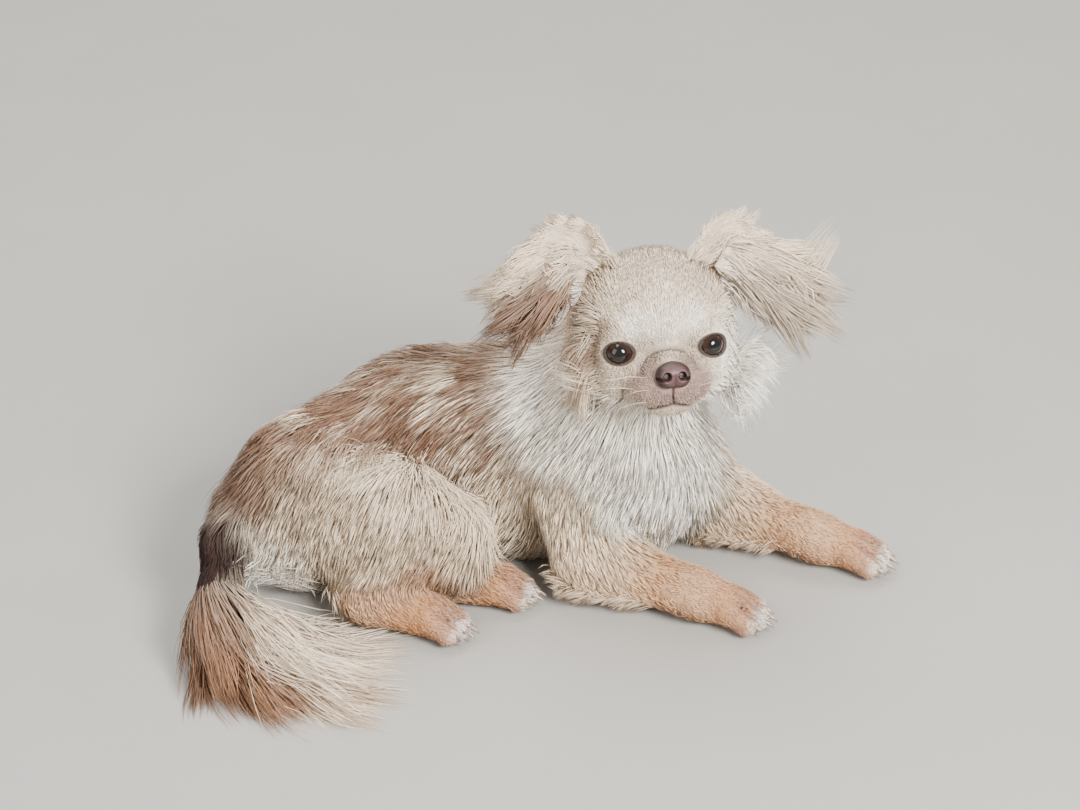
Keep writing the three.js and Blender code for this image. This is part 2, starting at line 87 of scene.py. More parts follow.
# The line of the back, from the rump to the chest
SPINE = [
    place(-0.114, 0.012, 0.050),
    place(-0.084, 0.042, 0.058),
    place(-0.040, 0.058, 0.066),
    place(0.008, 0.054, 0.072),
    place(0.050, 0.038, 0.074),
    place(0.080, 0.018, 0.068),
]
NECK = [place(0.058, 0.036, 0.092), place(0.084, 0.008, 0.148)]
TAIL = [
    place(-0.138, 0.016, 0.056),
    place(-0.152, 0.004, 0.055),
    place(-0.160, -0.018, 0.046),
    place(-0.163, -0.042, 0.030),
    place(-0.160, -0.062, 0.017),
    place(-0.150, -0.080, 0.012),
    place(-0.134, -0.094, 0.009),
]
TAIL_RADII = (0.014, 0.014, 0.014, 0.013, 0.011, 0.009, 0.006)
FORELEGS = {
    "right": (
        place(0.040, 0.004, 0.062),
        place(0.048, -0.020, 0.025),
        place(0.104, -0.049, 0.017),
        place(0.130, -0.060, 0.012),
    ),
    "left": (
        place(0.098, 0.038, 0.058),
        place(0.124, 0.032, 0.025),
        place(0.177, 0.002, 0.017),
        place(0.204, -0.009, 0.012),
    ),
}
HINDLEGS = {
    "right": (
        place(-0.098, 0.004, 0.062),
        place(-0.032, -0.012, 0.040),
        place(-0.080, -0.038, 0.017),
        place(-0.038, -0.056, 0.012),
    ),
    "left": (
        place(-0.100, 0.054, 0.042),
        place(-0.044, 0.062, 0.024),
        place(-0.050, -0.016, 0.017),
        place(0.000, -0.026, 0.012),
    ),
}

REGIONS = (
    "torso", "neck", "head", "tail", "thigh_right", "thigh_left", "shank_right",
    "arm_right", "arm_left", "forearm_right", "forearm_left",
    "paw_right", "paw_left", "foot_right", "foot_left",
)
# How deep the coat lies over the skin in each kind of region
COAT_DEPTH = {
    "torso": 0.0060, "neck": 0.0070, "head": 0.0014, "tail": 0.0045, "thigh": 0.0050,
    "shank": 0.0022, "arm": 0.0045, "forearm": 0.0020, "paw": 0.0009, "foot": 0.0009,
}
SIDES = ((-1, "right"), (1, "left"))
FLOOR_CLEAR = 0.0006
UV_PATCH = 0.003


def linear(colour):
    """A colour as the eye sees it, from 0 to 255, as linear light."""
    c = np.array(colour, float) / 255.0
    return np.where(c <= 0.04045, c / 12.92, ((c + 0.055) / 1.055) ** 2.4)


CREAM = linear((234, 217, 194))
GREY_FAWN = linear((196, 176, 156))
WHITE = linear((254, 249, 239))
SABLE = linear((120, 86, 64))
RED_BROWN = linear((92, 56, 38))
DARK_BROWN = linear((36, 15, 9))
TAN = linear((202, 162, 120))
ORANGE_TAN = linear((176, 116, 72))
MUZZLE_GREY = linear((146, 120, 112))
# Dark skin of the lips, lids and pads, also laid on as painted shade between the toes and in the
# fold over the nose
DARK_SKIN_AND_SHADE = linear((54, 32, 30))
BEIGE = linear((226, 208, 182))


def direction(way):
    """One direction, made one long."""
    return way / np.linalg.norm(way)


def unit(vectors):
    """Rows of directions, each made one long."""
    return vectors / np.maximum(np.linalg.norm(vectors, axis=1, keepdims=True), 1e-9)


def rows(vector, count):
    """The same vector in each of many rows."""
    return np.tile(np.array(vector), (count, 1))


def ramp(value, low, high):
    """Rises smoothly from 0 at low to 1 at high."""
    t = np.clip((value - low) / (high - low), 0.0, 1.0)
    return t * t * (3.0 - 2.0 * t)


def ridge(gap, width):
    """1 where there is no gap, falling off to 0 over a width."""
    return np.exp(-((gap / width) ** 2))


# How much darker the skin is painted than the hair over it: painted shade under the coat
SHADE_UNDER_COAT = 0.80


# Masses of flesh, each as a distance from its surface that is negative inside

def limb(a, radius_a, b, radius_b):
    """A tapered round mass between two joints."""
    ab = b - a
    squared = float(ab @ ab)
    growth = radius_b - radius_a

    def distance(points):
        """How far points are from the mass."""
        share = np.clip((points - a) @ ab / squared, 0.0, 1.0)
        nearest = a + share[:, None] * ab
        return np.linalg.norm(points - nearest, axis=1) - (radius_a + growth * share)

    distance.balls = [
        (a + ab * s, np.full(3, radius_a + growth * s)) for s in np.linspace(0, 1, 5)
    ]
    return distance


def lump(centre, radii):
    """A rounded mass with its own three radii."""
    centre = np.array(centre, float)
    radii = np.array(radii, float)

    def distance(points):
        """How far points are from the mass."""
        scaled = (points - centre) / radii
        size = np.linalg.norm(scaled, axis=1)
        steep = np.linalg.norm(scaled / radii, axis=1)
        return size * (size - 1.0) / np.maximum(steep, 1e-6)

    distance.balls = [(centre, radii)]
    return distance


def run_together(whole, other, width):
    """The nearer of two distances, filled out where they are within a width of one another."""
    near = np.maximum(width - np.abs(whole - other), 0.0) / width
    return np.minimum(whole, other) - near * near * width / 4.0


def merge(masses, width):
    """Runs masses into one another over a width, as flesh does."""

    def distance(points):
        """How far points are from the masses."""
        whole = masses[0](points)
        for mass in masses[1:]:
            whole = run_together(whole, mass(points), width)
        return whole

    distance.balls = [ball for mass in masses for ball in mass.balls]
    return distance


def on_head(points):
    """Points in the head's own axes."""
    return (points - SKULL) @ HEAD_TURN


def from_head(x, y, z):
    """A point given in the head's own axes."""
    return SKULL + HEAD_TURN @ np.array((x, y, z))


def head_way(x, y, z):
    """A direction given in the head's own axes."""
    return direction(HEAD_TURN @ np.array((x, y, z), float))


FORE_SPREAD = 0.0065
HIND_SPREAD = 0.0056
# Each toe's place across its paw, in spreads from the middle
TOES = (-1.5, -0.5, 0.5, 1.5)
TOE_HEIGHT = 0.008
KNUCKLE_HEIGHT = 0.014
CLAW_HEIGHT = 0.0085


def paw_way(joint, toe):
    """Which way a paw points along the floor."""
    return direction((toe - joint) * (1, 1, 0))


def toe_tip(joint, toe, spread, k, height, past=0.0):
    """The tip of a toe, or a place past it. The middle toes reach furthest."""
    along = paw_way(joint, toe)
    tip = toe + np.cross(along, UP) * k * spread + along * (0.012 - abs(k) * 0.004 + past)
    tip[2] = height
    return tip


def paw_mass(joint, toe, spread):
    """A paw of four toes."""
    along = paw_way(joint, toe)
    toes = []
    for k in TOES:
        knuckle = toe + np.cross(along, UP) * k * spread * 0.75 - along * 0.006
        knuckle[2] = KNUCKLE_HEIGHT
        toes.append(limb(knuckle, 0.0070, toe_tip(joint, toe, spread, k, TOE_HEIGHT), 0.0066))
    return merge([limb(joint, 0.0135, toe - along * 0.004, 0.012), merge(toes, 0.0012)], 0.004)


def both_sides(centre, radii):
    """The same rounded mass on the left and the right of the head."""
    return [lump(np.array(centre) * (1, side, 1), radii) for side in (1, -1)]


# How widely the masses of the trunk and the upper legs run into one another
BLEND = 0.016

HEAD_LOCAL = merge(
    [
        lump((-0.003, 0, 0.003), (0.039, 0.040, 0.037)),
        lump((0.012, 0, 0.008), (0.026, 0.030, 0.027)),
        *both_sides((0.006, 0.023, -0.020), (0.026, 0.017, 0.020)),
        limb(np.array((0.016, 0, -0.024)), 0.019, np.array((0.033, 0, -0.025)), 0.014),
        *both_sides((0.033, 0.011, -0.029), (0.013, 0.013, 0.011)),
        lump((0.030, 0, -0.039), (0.012, 0.013, 0.008)),
        *both_sides(EYE_ON_HEAD, (0.0114, 0.012, 0.0116)),
    ],
    0.008,
)


def head_mass(points):
    """The head, from its own axes."""
    return HEAD_LOCAL(on_head(points))


head_mass.balls = []


def flesh():
    """The mass of each region of the body, by its name."""
    masses = {
        "torso": merge(
            [
                lump(place(-0.112, 0.014, 0.049), (0.047, 0.044, 0.048)),
                limb(place(-0.100, 0.028, 0.054), 0.045, place(-0.045, 0.056, 0.064), 0.048),
                limb(place(-0.045, 0.056, 0.064), 0.048, place(0.030, 0.050, 0.074), 0.051),
                lump(place(0.076, 0.022, 0.064), (0.044, 0.044, 0.056)),
                limb(place(-0.064, 0.044, 0.031), 0.034, place(0.056, 0.032, 0.031), 0.034),
            ],
            BLEND,
        ),
        "neck": limb(NECK[0], 0.046, NECK[1], 0.038),
        "head": head_mass,
        "tail": merge(
            [
                limb(TAIL[i], TAIL_RADII[i], TAIL[i + 1], TAIL_RADII[i + 1])
                for i in range(len(TAIL) - 1)
            ],
            0.008,
        ),
    }
    for _, side in SIDES:
        shoulder, elbow, wrist, toe = FORELEGS[side]
        below_elbow = elbow + (wrist - elbow) * 0.3
        masses["arm_" + side] = merge(
            [limb(shoulder, 0.028, elbow, 0.021), limb(elbow, 0.019, below_elbow, 0.017)], BLEND
        )
        masses["forearm_" + side] = limb(elbow, 0.019, wrist, 0.014)
        masses["paw_" + side] = paw_mass(wrist, toe, FORE_SPREAD)
        hock, toe = HINDLEGS[side][2:]
        masses["foot_" + side] = paw_mass(hock, toe, HIND_SPREAD)
    hip, knee, hock, _ = HINDLEGS["right"]
    haunch = lump(place(-0.072, -0.012, 0.050), (0.042, 0.030, 0.042))
    masses["thigh_right"] = merge([limb(hip, 0.034, knee, 0.025), haunch], BLEND)
    masses["shank_right"] = limb(knee + (hock - knee) * 0.3, 0.022, hock, 0.014)
    hip, knee = HINDLEGS["left"][:2]
    masses["thigh_left"] = limb(hip, 0.036, knee, 0.022)
    return masses


FLESH = flesh()


def depth_of(name):
    """How deep the coat lies over a region's skin."""
    return COAT_DEPTH[name.split("_")[0]]


def region_distances(points):
    """The distance from each region's skin, one column for each name in REGIONS."""
    return np.stack([FLESH[name](points) + depth_of(name) for name in REGIONS], axis=1)


def body_region(points):
    """The number in REGIONS of the region that each place lies in."""
    return np.argmin(region_distances(points), axis=1)


def region_shares(points, soft=0.0045):
    """How much each place belongs to each region and each kind, fading from one to the next."""
    columns = region_distances(points)
    near = np.exp((columns.min(1, keepdims=True) - columns) / soft)
    near = near / near.sum(1, keepdims=True)
    shares = {kind: np.zeros(len(points)) for kind in COAT_DEPTH}
    for name, column in zip(REGIONS, near.T):
        shares[name] = column
        kind = name.split("_")[0]
        if kind != name:
            shares[kind] = shares[kind] + column
    return shares


def body(points):
    """The distance from the whole skin, with its regions run into one another."""
    columns = region_distances(points)
    whole = columns[:, 0]
    for column in columns.T[1:]:
        whole = run_together(whole, column, 0.010)
    return whole


def depth_and_outward(points, field=body, step=0.0006):
    """The distance from the skin and the direction out of it."""
    here = field(points)
    slope = np.stack([field(points + axis * step) - here for axis in np.eye(3)], axis=1) / step
    return here, slope


def ripple(points, scale, seed):
    """A smooth uneven pattern from -1 to 1, with features of about the given size."""
    random = np.random.default_rng(seed)
    total = np.zeros(len(points))
    for _ in range(6):
        wave = random.normal(size=3)
        wave = wave / np.linalg.norm(wave) * random.uniform(0.6, 1.5) * 2 * math.pi / scale
        total += np.sin(points @ wave + random.uniform(0, 2 * math.pi))
    return total / 3.0


def along_line(points, line):
    """How far along a line of joints each point lies, from 0 to 1, its place there and its way."""
    best = np.full(len(points), 1e9)
    share = np.zeros(len(points))
    foot = np.zeros((len(points), 3))
    way = np.zeros((len(points), 3))
    pieces = len(line) - 1
    for i in range(pieces):
        a, b = line[i], line[i + 1]
        ab = b - a
        t = np.clip((points - a) @ ab / (ab @ ab), 0.0, 1.0)
        near = a + t[:, None] * ab
        gap = np.linalg.norm(points - near, axis=1)
        closer = gap < best
        best[closer] = gap[closer]
        share[closer] = (i + t[closer]) / pieces
        foot[closer] = near[closer]
        way[closer] = ab / np.linalg.norm(ab)
    return share, foot, way


def spot(points, centre, radii, soft=0.5):
    """1 inside an oval place and 0 outside it, fading over a share of its size."""
    size = np.linalg.norm((points - centre) / np.array(radii), axis=1)
    return 1.0 - ramp(size, 1.0 - soft, 1.0 + soft)


def blended(colour, other, share):
    """A colour on its way to another, by a share at each place."""
    return colour + (other - colour) * share[:, None]


def painted(colour, *layers):
    """Lays colours over one another, each by its own share at each place."""
    for other, share in layers:
        colour = blended(colour, other, share)
    return colour


def one_colour(count, colour, other, share):
    """The same mix of two colours at every place."""
    return rows(colour + (other - colour) * share, count)


def folded(q):
    """Points of the head with its right half laid over its left."""
    return np.stack([q[:, 0], np.abs(q[:, 1]), q[:, 2]], axis=1)


def head_markings(points):
    """The colours of the head."""
    q = on_head(points)
    both = folded(q)
    side = both[:, 1]
    n = ripple(points, 0.012, 5)[:, None]
    forward, low = q[:, 0], -q[:, 2]
    far_cheek = ramp(side + 0.5 * q[:, 1], 0.030, 0.050) * ramp(0.012 - q[:, 2], 0, 0.020)
    throat = ramp(low, 0.030, 0.040) * ramp(0.030 - forward, 0, 0.01)
    by_eye = spot(q + 0.003 * n, (0.020, -0.035, -0.003), (0.008, 0.006, 0.012), 0.7)
    by_jaw = spot(q + 0.002 * n, (0.014, -0.040, -0.012), (0.010, 0.006, 0.006), 0.7)
    brow = spot(both + 0.003 * n, (0.030, 0.013, 0.004), (0.016, 0.009, 0.010), 0.7)
    blaze = spot(both, (0.030, 0.000, 0.006), (0.014, 0.006, 0.020), 0.8)
    under_eye = spot(both, (0.034, 0.012, -0.010), (0.012, 0.010, 0.010))
    muzzle = spot(both, (0.042, 0.006, -0.027), (0.018, 0.020, 0.013), 0.4)
    return painted(
        one_colour(len(q), CREAM, GREY_FAWN, 0.42),
        (WHITE, 0.80 * brow),
        (WHITE, 0.35 * blaze),
        (WHITE, 0.95 * far_cheek),
        (WHITE, 0.9 * throat),
        (SABLE, 0.60 * by_eye),
        (ORANGE_TAN, 0.5 * by_jaw),
        (GREY_FAWN * 0.85, 0.7 * under_eye),
        (MUZZLE_GREY, 0.90 * muzzle),
        # Dark along the mouth and the lip's groove, the lips' own skin; dark along the fold over
        # the nose, painted shade in the crease
        (DARK_SKIN_AND_SHADE, 0.90 * face_lines(q, 0.0013)),
        (DARK_SKIN_AND_SHADE * 0.5, 0.95 * (1 - ramp(lid_gap(q), 1.05, 1.18))),
    )


# The opening of the lids, seen along the line of sight
LID_HALF_WIDTH = 0.0084
LID_HALF_HEIGHT = 0.0064
LID_RISE = 0.0003

# The line of the mouth as seen from the front: out to the side, and up
MOUTH_LINE = np.array((
    (0, -0.0372), (0.006, -0.0388), (0.013, -0.0404),
    (0.0185, -0.0398), (0.0225, -0.036), (0.0243, -0.030),
))
# The fold over the nose, and the swelling above it, are arcs as seen from the front
FOLD_CENTRE = -0.023
FOLD_RADIUS = 0.0155
SWELL_RADIUS = 0.0190


def eye_frame(side):
    """An eye's centre, line of sight, and ways across and up, in the head's own axes."""
    axis = direction(np.array((1.0, side * 0.30, 0.02)))
    across = direction(np.cross(UP, axis))
    return EYE_ON_HEAD * (1, side, 1), axis, across, np.cross(axis, across)


def eye_place(q, side):
    """Each point's way from the eye's centre, how far ahead it is, and its place in the opening.

    The last is a share of the lids' opening: 0 in its middle and 1 on the rims.
    """
    centre, axis, across, up = eye_frame(side)
    from_centre = q - centre
    u, v = from_centre @ across, from_centre @ up
    opening = np.sqrt((u / LID_HALF_WIDTH) ** 2 + ((v - LID_RISE) / LID_HALF_HEIGHT) ** 2)
    return from_centre, from_centre @ axis, opening


def lid_gap(q):
    """How far each point of the head is from the eyes, as a share of the lids' opening."""
    gap = np.full(len(q), 9.0)
    for side, _ in SIDES:
        _, ahead, opening = eye_place(q, side)
        gap = np.where(ahead > 0, np.minimum(gap, opening), gap)
    return gap


def nose_arc(q, radius, width):
    """1 along an arc over the nose, fading over a width, and only above the nostrils."""
    arc = np.hypot(q[:, 1], (q[:, 2] - FOLD_CENTRE) * 1.1)
    return ridge(arc - radius, width) * ramp(q[:, 2], -0.024, -0.016)


def face_lines(q, width):
    """1 on the mouth, the lip's groove and the fold over the nose, fading over a width."""
    ahead = ramp(q[:, 0], 0.02, 0.03)
    fold = nose_arc(q, FOLD_RADIUS, width) * ahead
    groove = ridge(q[:, 1], 0.6 * width) * ramp(-q[:, 2], 0.024, 0.027)
    groove = groove * ramp(q[:, 2], -0.040, -0.037)
    mouth = ridge(mouth_distance(q), width)
    return np.maximum(np.maximum(0.8 * fold, mouth), groove * ahead)


def mouth_distance(q):
    """How far each point of the head is from the line of the mouth, as seen from the front."""
    front = folded(q)[:, 1:]
    best = np.full(len(q), 1.0)
    for a, b in zip(MOUTH_LINE[:-1], MOUTH_LINE[1:]):
        ab = b - a
        t = np.clip((front - a) @ ab / (ab @ ab), 0, 1)
        best = np.minimum(best, np.linalg.norm(front - (a + t[:, None] * ab), axis=1))
    return best + 0.5 * np.maximum(0.018 - q[:, 0], 0)


def toe_grooves(points):
    """1 in the grooves between the toes, fading out of them, and 0 elsewhere."""
    groove = np.zeros(len(points))
    for legs, spread in ((FORELEGS, FORE_SPREAD), (HINDLEGS, HIND_SPREAD)):
        for leg in legs.values():
            along = paw_way(leg[2], leg[3])
            aside = np.abs((points - leg[3]) @ np.cross(along, UP))
            ahead = (points - leg[3]) @ along
            near = (np.linalg.norm(points - leg[3], axis=1) < 0.030) * ramp(ahead, -0.008, 0.005)
            between = np.minimum(aside, np.abs(aside - spread))
            groove = np.maximum(groove, near * ridge(between, 0.0013))
    return groove


def trunk_markings(colour, points, n, fine, share_of):
    """Lays the dark back, rump and shoulder and the white chest and belly on the trunk."""
    model = points - MODEL_TO_FRAME
    x, y, z = model.T
    trunk = share_of["torso"] + share_of["thigh"] + share_of["neck"]
    share, foot, _ = along_line(points, SPINE)
    height = (points[:, 2] - foot[:, 2]) / 0.050
    back = ramp(height + 0.22 * n + 0.34 * fine, 0.28, 0.80) * ramp(1.08 - share, 0.0, 0.12)
    shoulder = spot(model + 0.006 * n[:, None], (0.036, 0.002, 0.104), (0.016, 0.022, 0.020))
    rump = spot(model + 0.006 * fine[:, None], (-0.156, 0.018, 0.066), (0.036, 0.036, 0.046), 0.4)
    chest = trunk * ramp(x, 0.050, 0.066) * ramp(0.150 - z, 0.0, 0.02)
    chest = chest * ramp(0.036 - y + 0.2 * (0.1 - z), 0.0, 0.02)
    ruff = share_of["neck"]
    nape = ruff * ramp(y, 0.036, 0.056)
    return painted(
        colour,
        (GREY_FAWN, trunk * 0.55 * ramp(n + fine, -0.9, 0.9)),
        (SABLE, trunk * 0.92 * back),
        (RED_BROWN, trunk * 0.50 * back * ramp(fine + 0.3 * n, 0.0, 1.3)),
        (RED_BROWN, share_of["torso"] * 0.7 * shoulder * ramp(fine, -1.0, 0.3)),
        (RED_BROWN * 0.8, (1 - share_of["tail"]) * 0.9 * rump),
        (WHITE, chest),
        (WHITE, trunk * 0.6 * ramp(0.030 - z, 0.0, 0.02)),
        (CREAM, 0.8 * ruff),
        (WHITE, 0.9 * ruff * ramp(0.036 - y, -0.01, 0.02)),
        (GREY_FAWN, 0.5 * ruff * ramp(fine, 0.4, 1.1) * (1 - ramp(x, 0.060, 0.085))),
        (SABLE, 0.7 * nape * ramp(fine + 0.4, 0.0, 0.8)),
    )


def leg_markings(colour, points, fine, share_of):
    """Lays the beige, tan and orange of the legs, the pads and the white toes, and painted shade in
    the grooves between the toes.
    """
    x, y, z = (points - MODEL_TO_FRAME).T
    trunk = share_of["torso"] + share_of["thigh"] + share_of["neck"]
    thigh = share_of["thigh"] * ramp(0.115 - z + 0.012 * fine, 0.010, 0.036)
    breeches = trunk * ramp(-x, 0.096, 0.120) * ramp(0.074 - z, 0.0, 0.02)
    colour = painted(
        colour,
        (BEIGE, thigh * 0.75),
        (TAN, share_of["thigh"] * 0.55 * ramp(0.034 - z, 0.0, 0.014)),
        (WHITE, 0.75 * breeches * ramp(0.010 - y, -0.01, 0.01)),
        (ORANGE_TAN, share_of["shank"] * 0.8),
        (BEIGE, share_of["arm"] * 0.7),
        (TAN, share_of["arm"] * 0.5 * ramp(0.034 - z, 0.0, 0.012)),
        (TAN, share_of["forearm"] * 0.85),
    )
    # The grooves between the toes are painted dark: painted shade between the toes
    grooves = 0.80 * toe_grooves(points)
    for _, word in SIDES:
        _, elbow, wrist, _ = FORELEGS[word]
        bone = wrist - elbow
        down = ramp((points - elbow) @ bone / (bone @ bone), 0.1, 0.9)
        pad = spot(points, wrist + np.array((-0.006, -0.010, -0.010)), (0.008, 0.007, 0.008), 0.4)
        near_pad = share_of["forearm_" + word] + share_of["paw_" + word]
        colour = painted(
            colour,
            (ORANGE_TAN, share_of["forearm_" + word] * (0.55 + 0.2 * fine) * down),
            (DARK_SKIN_AND_SHADE, 0.8 * pad * near_pad),
        )
        for kind, leg in (("paw_", FORELEGS[word]), ("foot_", HINDLEGS[word])):
            ahead = (points - leg[3]) @ paw_way(leg[2], leg[3])
            paw = painted(
                rows(ORANGE_TAN * 0.65 + TAN * 0.35, len(points)),
                (MUZZLE_GREY * 1.4, 0.40 * ramp(ahead, -0.010, 0.004)),
                (WHITE, 0.8 * ramp(ahead + 0.002 * fine, 0.006, 0.015)),
                (DARK_SKIN_AND_SHADE, grooves),
            )
            colour = blended(colour, paw, share_of[kind + word])
    return colour


def markings(points, streak=0.0):
    """The colour of the coat at each place, from its regions and its lock's own draw."""
    n = ripple(points * (1, 1, 0.45), 0.034, 11)
    fine = 0.5 * ripple(points * (1, 1, 0.25), 0.010, 12) + streak
    share_of = region_shares(points)
    colour = trunk_markings(rows(CREAM, len(points)), points, n, fine, share_of)
    colour = leg_markings(colour, points, fine, share_of)
    share, foot, _ = along_line(points, TAIL)
    outer = ramp(foot[:, 0] - points[:, 0] + 0.003 * fine, -0.003, 0.005)
    rust = ORANGE_TAN * 0.35 + RED_BROWN * 0.65
    return painted(
        colour,
        (DARK_BROWN, share_of["tail"] * (1 - ramp(share + 0.05 * n, 0.40, 0.56))),
        (rust, share_of["tail"] * 0.9 * outer * ramp(share, 0.42, 0.52)),
        (head_markings(points), share_of["head"]),
    )


# Meshes

def deselect_all():
    """Leaves edit mode and selects nothing."""
    if bpy.context.object and bpy.context.object.mode != "OBJECT":
        bpy.ops.object.mode_set(mode="OBJECT")
    bpy.ops.object.select_all(action="DESELECT")


def select_only(piece):
    """Makes one piece the active and only selected one."""
    deselect_all()
    bpy.context.view_layer.objects.active = piece
    piece.select_set(True)


def turned_outwards(piece):
    """Turns the faces of the active piece outwards."""
    bpy.ops.object.mode_set(mode="EDIT")
    bpy.ops.mesh.select_all(action="SELECT")
    bpy.ops.mesh.normals_make_consistent(inside=False)
    bpy.ops.object.mode_set(mode="OBJECT")
    smooth(piece.data)


def named(name):
    """Names the new active object and its mesh."""
    piece = bpy.context.object
    piece.name = name
    piece.data.name = name
    return piece


def read_array(items, key, width, kind=np.float32):
    """The values of a key of each of a mesh's items, in rows of a width."""
    out = np.empty(len(items) * width, kind)
    items.foreach_get(key, out)
    return out.reshape(-1, width)


def corners(mesh):
    """The places of a mesh's corners."""
    return read_array(mesh.vertices, "co", 3).astype(float)


def edges_of(mesh):
    """The two corners of each edge of a mesh."""
    return read_array(mesh.edges, "vertices", 2, np.int32)


def set_corners(mesh, points):
    """Moves a mesh's corners to new places."""
    mesh.vertices.foreach_set("co", np.ascontiguousarray(points, np.float32).ravel())
    mesh.update()


def smooth(mesh):
    """Shades a mesh smoothly."""
    mesh.polygons.foreach_set("use_smooth", np.ones(len(mesh.polygons), bool))
    mesh.update()


def apply_modifier(piece, kind, **settings):
    """Adds a modifier to a piece and applies it."""
    select_only(piece)
    modifier = piece.modifiers.new(kind.lower(), kind)
    for key, value in settings.items():
        setattr(modifier, key, value)
    bpy.ops.object.modifier_apply(modifier=modifier.name)


def relaxed(points, edges, strength):
    """Moves each corner towards the middle of its neighbours."""
    count = np.bincount(edges.ravel(), minlength=len(points)).astype(float)
    total = np.zeros_like(points)
    for k in range(3):
        total[:, k] = np.bincount(edges[:, 0], points[edges[:, 1], k], len(points))
        total[:, k] += np.bincount(edges[:, 1], points[edges[:, 0], k], len(points))
    return points + (total / np.maximum(count, 1)[:, None] - points) * strength


def drawn_to_skin(points, field, rounds, edges=None):
    """Moves points on to a surface, evening out the mesh between the moves."""
    for turn in range(rounds):
        here, slope = depth_and_outward(points, field)
        steep = np.maximum((slope * slope).sum(1), 0.25)
        move = np.clip(here / steep, -0.006, 0.006)
        points = points - slope * move[:, None]
        if edges is not None and turn < rounds - 1:
            points = relaxed(points, edges, 0.4)
    return points


def add_colour(mesh, colours):
    """Gives a mesh the attribute coat, with a colour at each corner."""
    layer = mesh.color_attributes.new(name="coat", type="FLOAT_COLOR", domain="POINT")
    full = np.ones((len(colours), 4), np.float32)
    full[:, :3] = colours
    layer.data.foreach_set("color", full.ravel())


def finish_piece(piece, material, slot, *replaced):
    """Gives a piece its material, sets it on the dog's one body, and hides the parts that it
    replaces.
    """
    piece.data.materials.append(material)
    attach(piece, "root")
    if replaced:
        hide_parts(*replaced)


# Materials

def new_material(name):
    """A new material, its node tree and its shader."""
    material = bpy.data.materials.new(name)
    material.use_nodes = True
    tree = material.node_tree
    return material, tree, tree.nodes["Principled BSDF"]


def set_inputs(node, **values):
    """Sets a node's inputs. The words of an input's name are parted by underlines."""
    for key, value in values.items():
        node.inputs[key.replace("_", " ")].default_value = value


def attribute(tree, name):
    """Reads an attribute of the piece."""
    node = tree.nodes.new("ShaderNodeAttribute")
    node.attribute_name = name
    return node


def noise(tree, scale, detail=3.0):
    """A noise on the piece's own coordinates."""
    texture = tree.nodes.new("ShaderNodeTexNoise")
    set_inputs(texture, Scale=scale, Detail=detail)
    where = tree.nodes.new("ShaderNodeTexCoord")
    tree.links.new(where.outputs["Object"], texture.inputs["Vector"])
    return texture.outputs["Fac"]


def mapped(tree, source, low, high):
    """A value from 0 to 1, brought between two others."""
    between = tree.nodes.new("ShaderNodeMapRange")
    set_inputs(between, To_Min=low, To_Max=high)
    tree.links.new(source, between.inputs["Value"])
    return between.outputs["Result"]


def bump(tree, shader, height, strength, distance):
    """Gives a surface relief."""
    relief = tree.nodes.new("ShaderNodeBump")
    set_inputs(relief, Strength=strength, Distance=distance)
    tree.links.new(height, relief.inputs["Height"])
    tree.links.new(relief.outputs["Normal"], shader.inputs["Normal"])


def shade_by(tree, shader, colour, value, low, high):
    """Gives a surface its colour, made darker and lighter by a value."""
    scale = tree.nodes.new("ShaderNodeVectorMath")
    scale.operation = "SCALE"
    tree.links.new(colour, scale.inputs[0])
    tree.links.new(mapped(tree, value, low, high), scale.inputs["Scale"])
    tree.links.new(scale.outputs["Vector"], shader.inputs["Base Color"])


def roughen_by(tree, shader, value, low, high):
    """Makes a surface's roughness follow a value."""
    tree.links.new(mapped(tree, value, low, high), shader.inputs["Roughness"])


def coat_material(name, low, high, rough):
    """Fur: its colour comes from the markings, with finer differences from hair to hair."""
    material, tree, shader = new_material(name)
    grain = noise(tree, 520.0)
    shade_by(tree, shader, attribute(tree, "coat").outputs["Color"], grain, low, high)
    roughen_by(tree, shader, grain, rough - 0.08, rough + 0.12)
    set_inputs(shader, Specular_IOR_Level=0.22, Sheen_Weight=0.04)
    bump(tree, shader, noise(tree, 1400.0), 0.25, 0.0004)
    return material


def skin_material():
    """The shortest fur, close on the skin."""
    material, tree, shader = new_material("short_fur_skin")
    grain = noise(tree, 700.0, 4.0)
    shade_by(tree, shader, attribute(tree, "coat").outputs["Color"], grain, 0.72, 1.08)
    roughen_by(tree, shader, grain, 0.55, 0.8)
    set_inputs(shader, Specular_IOR_Level=0.3)
    bump(tree, shader, noise(tree, 900.0, 5.0), 0.5, 0.0006)
    return material


def plain_material(name, colour, other, scale, rough, relief, coat=0.0):
    """A hard or leathery finish, mottled between two colours."""
    material, tree, shader = new_material(name)
    grain = noise(tree, scale, 4.0)
    mix = tree.nodes.new("ShaderNodeMix")
    mix.data_type = "RGBA"
    set_inputs(mix, A=(*colour, 1), B=(*other, 1))
    tree.links.new(mapped(tree, grain, -0.4, 1.4), mix.inputs["Factor"])
    tree.links.new(mix.outputs["Result"], shader.inputs["Base Color"])
    roughen_by(tree, shader, grain, rough - 0.06, rough + 0.1)
    set_inputs(shader, Coat_Weight=coat, Coat_Roughness=0.08)
    bump(tree, shader, noise(tree, scale * 2.5), relief, 0.0004)
    return material


def nose_material():
    """Moist nose leather, divided in small plates."""
    material, tree, shader = new_material("nose_leather")
    voronoi = tree.nodes.new("ShaderNodeTexVoronoi")
    set_inputs(voronoi, Scale=1500.0)
    where = tree.nodes.new("ShaderNodeTexCoord")
    tree.links.new(where.outputs["Object"], voronoi.inputs["Vector"])
    plates = voronoi.outputs["Distance"]
    # The plates are painted darker towards their edges: painted shade in the crevices between them
    shade_by(tree, shader, attribute(tree, "coat").outputs["Color"], plates, 1.1, 0.85)
    roughen_by(tree, shader, plates, 0.40, 0.55)
    set_inputs(shader, Specular_IOR_Level=0.35, Coat_Weight=0.08, Coat_Roughness=0.25)
    bump(tree, shader, mapped(tree, plates, 1.0, 0.0), 0.35, 0.0003)
    return material


